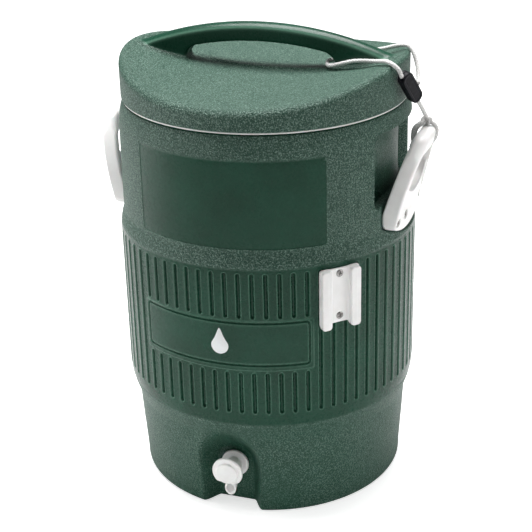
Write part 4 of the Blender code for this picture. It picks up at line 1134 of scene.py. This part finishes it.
def make_tether():
    spacing = detail(0.4, 0.8)
    start = np.array((70, 0, lid_height(70.0, 0.0) + CORD_RADIUS + 2.7))
    entry = CLIP_TOP - CLIP_ALONG * 0.8 - CLIP_WIDE * 2.6
    beside = CLIP_TOP + CLIP_ALONG * 28.0 + CLIP_WIDE * 10.4
    front = [start, (76, -13.5, 467), (102, -16, 474), (124, -18, 475.8), (136, -28, 479.2),
             (144.5, -36.5, 480.2), (152.5, -38.5, 475.5), entry - CLIP_ALONG * 1.5,
             entry + CLIP_ALONG * 3.0]
    back = [start, (76, 13.5, 467), (100, 21, 473.5), (119, 28, 476.4), (141, 29, 481.6), (151, 27, 478.5),
            (159, 20, 463.5), (163, 8, 452.0), beside]
    add_cord("tether_loop", [braided_tube(smooth_path(front[::-1] + back[1:], spacing))], "lid")

    points, quads = surface_net(clip_field, (-24, -6, -9), (24, 6, 9), detail(0.45, 0.9))
    placed = (CLIP_TOP + CLIP_BOTTOM) / 2 + points @ np.stack([CLIP_ALONG, CLIP_THIN, CLIP_WIDE])
    mirrored = np.cross(CLIP_ALONG, CLIP_THIN).dot(CLIP_WIDE) < 0
    piece("cord_clip", placed, [quads[:, ::-1] if mirrored else quads], "clip", "lid", sharp=50)

    turns = np.linspace(0, 2 * pi, int(2 * pi * RING_TALL / spacing), endpoint=False)
    round_x, round_z = (np.sign(v) * np.abs(v) ** RING_SQUARE for v in (np.cos(turns), np.sin(turns)))
    ring = RING_CENTRE + np.stack([RING_WIDE * round_x + RING_LEAN * round_z, 0 * turns,
                                   RING_TALL * round_z], axis=-1)
    knot = RING_CENTRE + np.array((1.0, -2.0, RING_TALL + 2.0))
    bend = np.linspace(0, 2 * pi, int(70 / spacing), endpoint=False)
    trefoil = knot + KNOT_SIZE * np.stack([np.sin(bend) + 2 * np.sin(2 * bend), 1.3 * np.sin(3 * bend),
                                           np.cos(bend) - 2 * np.cos(2 * bend)], axis=-1)
    fringe = [knot + (-1, -1, -1), knot + (-6, -3, -3), knot + (-11.5, -4, -9), knot + (-12.5, -5, -20)]
    tubes = [braided_tube(ring, closed=True), braided_tube(trefoil, 2.0, 16, closed=True),
             braided_tube(smooth_path(fringe, spacing), 3.2, strands=6)]
    shaker = np.random.default_rng(7)
    for _ in range(FRINGE_HAIRS):
        spread = shaker.normal(0.0, 1.6, 3)
        root = fringe[-1] + shaker.normal(0.0, 1.2, 3) * (1, 1, 0.4)
        hair = [root + (0, 0, 2.0), root + spread * 0.5 - (0, 0, 2.0), root + spread - (0, 0, 4.5)]
        tubes.append(braided_tube(smooth_path(hair, 0.9), 0.75, 6, taper=0.4))
    add_cord("tether_knot", tubes, "jug_body", "tether_knot_loop")

    tail = smooth_path([CLIP_BOTTOM - CLIP_ALONG * 2.0, CLIP_BOTTOM + CLIP_ALONG * 2.0,
                        CLIP_BOTTOM + np.array((2.5, 8.0, -9.0)), knot + (0.5, 0, 2.5)], spacing)
    made = add_cord("tether_tail", [braided_tube(tail)], None)
    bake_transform(made)


# ---- label mark ----
MARK_HEIGHT, MARK_THICKNESS, MARK_SINK = 30.0, 0.35, 0.2
MARK_DROP = 3.0


def make_mark():
    """Plain water drop printed in white on the front panel."""
    turn = np.arange(72) * 2 * pi / 72
    point = np.clip(np.cos(turn), 0, 1) ** 3
    across = MARK_HEIGHT * 0.31 * np.sin(turn) * (1 - 0.35 * point)
    high = MARK_HEIGHT * 0.31 * np.cos(turn) * (1.0 + 1.15 * point ** 1.6)
    middle = (LABEL_BOTTOM + LABEL_TOP) / 2 - MARK_DROP
    base = BAND_RADIUS + FRAME_RISE
    shares = [k / 10 for k in range(1, 11)]
    layers = [(share, -MARK_SINK) for share in shares] + [(share, MARK_THICKNESS) for share in shares[::-1]]
    rings = [on_circle(np.full(len(turn), base + lift), np.degrees(across * share / base),
                       middle + high * share) for share, lift in layers]
    back, front = ((0, -(base + lift), middle) for lift in (-MARK_SINK, MARK_THICKNESS))
    piece("drop_mark", *capped(rings, back, front), "mark", "jug_body", None, sharp=40)


# ---- stage, in metres ----
CAMERA_DISTANCE = 1.505
CAMERA_ELEVATION, CAMERA_AZIMUTH, CAMERA_ROLL = radians(25.16), radians(19.16), radians(-1.41)
CAMERA_AIM_HEIGHT = 0.195
AIM_RIGHT_PIXELS, AIM_DOWN_PIXELS = 4.2, 26.2
IMAGE_SIZE, FOCAL_PIXELS = 532, 1329.0
SENSOR_WIDTH = 36.0
FLOOR_HALF, FLOOR_DROP = 14.0, 0.0004
SKY_STRENGTH = 0.28
# Name, place, the point it faces, width and height, watts, spread.
LIGHTS = (
    ("top_box", (-0.2, 0.35, 2.2), (0, 0, 0.3), (1.4, 1.1), 84.0, 180.0),
    ("left_box", (-2.0, -0.5, 0.55), (0, 0, 0.1), (0.9, 1.0), 19.0, 180.0),
    ("right_box", (2.1, 0.1, 0.9), (0, 0, 0.25), (0.8, 1.6), 14.0, 180.0),
    ("low_fill", (0.3, -1.9, 0.1), (0, 0, 0.0), (1.4, 0.2), 0.35, 20.0),
)


def make_camera():
    """Looks down at the jug from its right front, with the jug a little low in the frame."""
    e, a, roll = CAMERA_ELEVATION, CAMERA_AZIMUTH, CAMERA_ROLL
    back = Vector((cos(e) * sin(a), -cos(e) * cos(a), sin(e)))
    right = Vector((cos(a), sin(a), 0))
    up = back.cross(right)
    across = AIM_RIGHT_PIXELS * cos(roll) + AIM_DOWN_PIXELS * sin(roll)
    down = -AIM_RIGHT_PIXELS * sin(roll) + AIM_DOWN_PIXELS * cos(roll)
    forward = (-back * FOCAL_PIXELS - right * across + up * down).normalized()
    side = forward.cross(up).normalized()
    top = side.cross(forward)
    side, top = side * cos(roll) + top * sin(roll), top * cos(roll) - side * sin(roll)
    camera = bpy.data.objects.new("camera", bpy.data.cameras.new("camera"))
    bpy.context.scene.collection.objects.link(camera)
    camera.data.sensor_width = SENSOR_WIDTH
    camera.data.lens = FOCAL_PIXELS / IMAGE_SIZE * SENSOR_WIDTH
    place = Vector((0, 0, CAMERA_AIM_HEIGHT)) + back * CAMERA_DISTANCE
    camera.matrix_world = Matrix.Translation(place) @ Matrix((side, top, -forward)).transposed().to_4x4()
    bpy.context.scene.camera = camera


def make_lights():
    for name, place, aim, size, power, spread in LIGHTS:
        light = bpy.data.lights.new(name, "AREA")
        light.shape, light.size, light.size_y = "RECTANGLE", size[0], size[1]
        light.energy, light.spread = power, radians(spread)
        made = bpy.data.objects.new(name, light)
        bpy.context.scene.collection.objects.link(made)
        made.location = place
        made.rotation_euler = (Vector(aim) - Vector(place)).to_track_quat("-Z", "Y").to_euler()


def make_surroundings():
    """Pale seamless floor, and a soft sky that the camera sees as white."""
    half, low = FLOOR_HALF / MM, -FLOOR_DROP / MM
    corners = [(-half, -half, low), (half, -half, low), (half, half, low), (-half, half, low)]
    mesh_object("floor", corners, [np.array([[0, 1, 2, 3]])], "floor")
    world = bpy.data.worlds.new("surroundings")
    bpy.context.scene.world = world
    world.use_nodes = True
    tree = world.node_tree
    path = tree.nodes.new("ShaderNodeLightPath")
    choose = tree.nodes.new("ShaderNodeMixShader")
    tree.links.new(path.outputs["Is Camera Ray"], choose.inputs[0])
    shown = tree.nodes.new("ShaderNodeBackground")
    for slot, (sky, strength) in enumerate(((tree.nodes["Background"], SKY_STRENGTH), (shown, 1.0)), 1):
        sky.inputs["Color"].default_value = (1, 1, 1, 1)
        sky.inputs["Strength"].default_value = strength
        tree.links.new(sky.outputs[0], choose.inputs[slot])
    tree.links.new(choose.outputs[0], tree.nodes["World Output"].inputs["Surface"])
    bpy.context.scene.view_settings.view_transform = "Standard"


dress_cad_nodes()
make_shell()
make_lid_shell()
make_lid_liner()
make_handles()
make_bracket()
make_screws()
make_spigot()
make_tether()
make_mark()
make_camera()
make_surroundings()
make_lights()
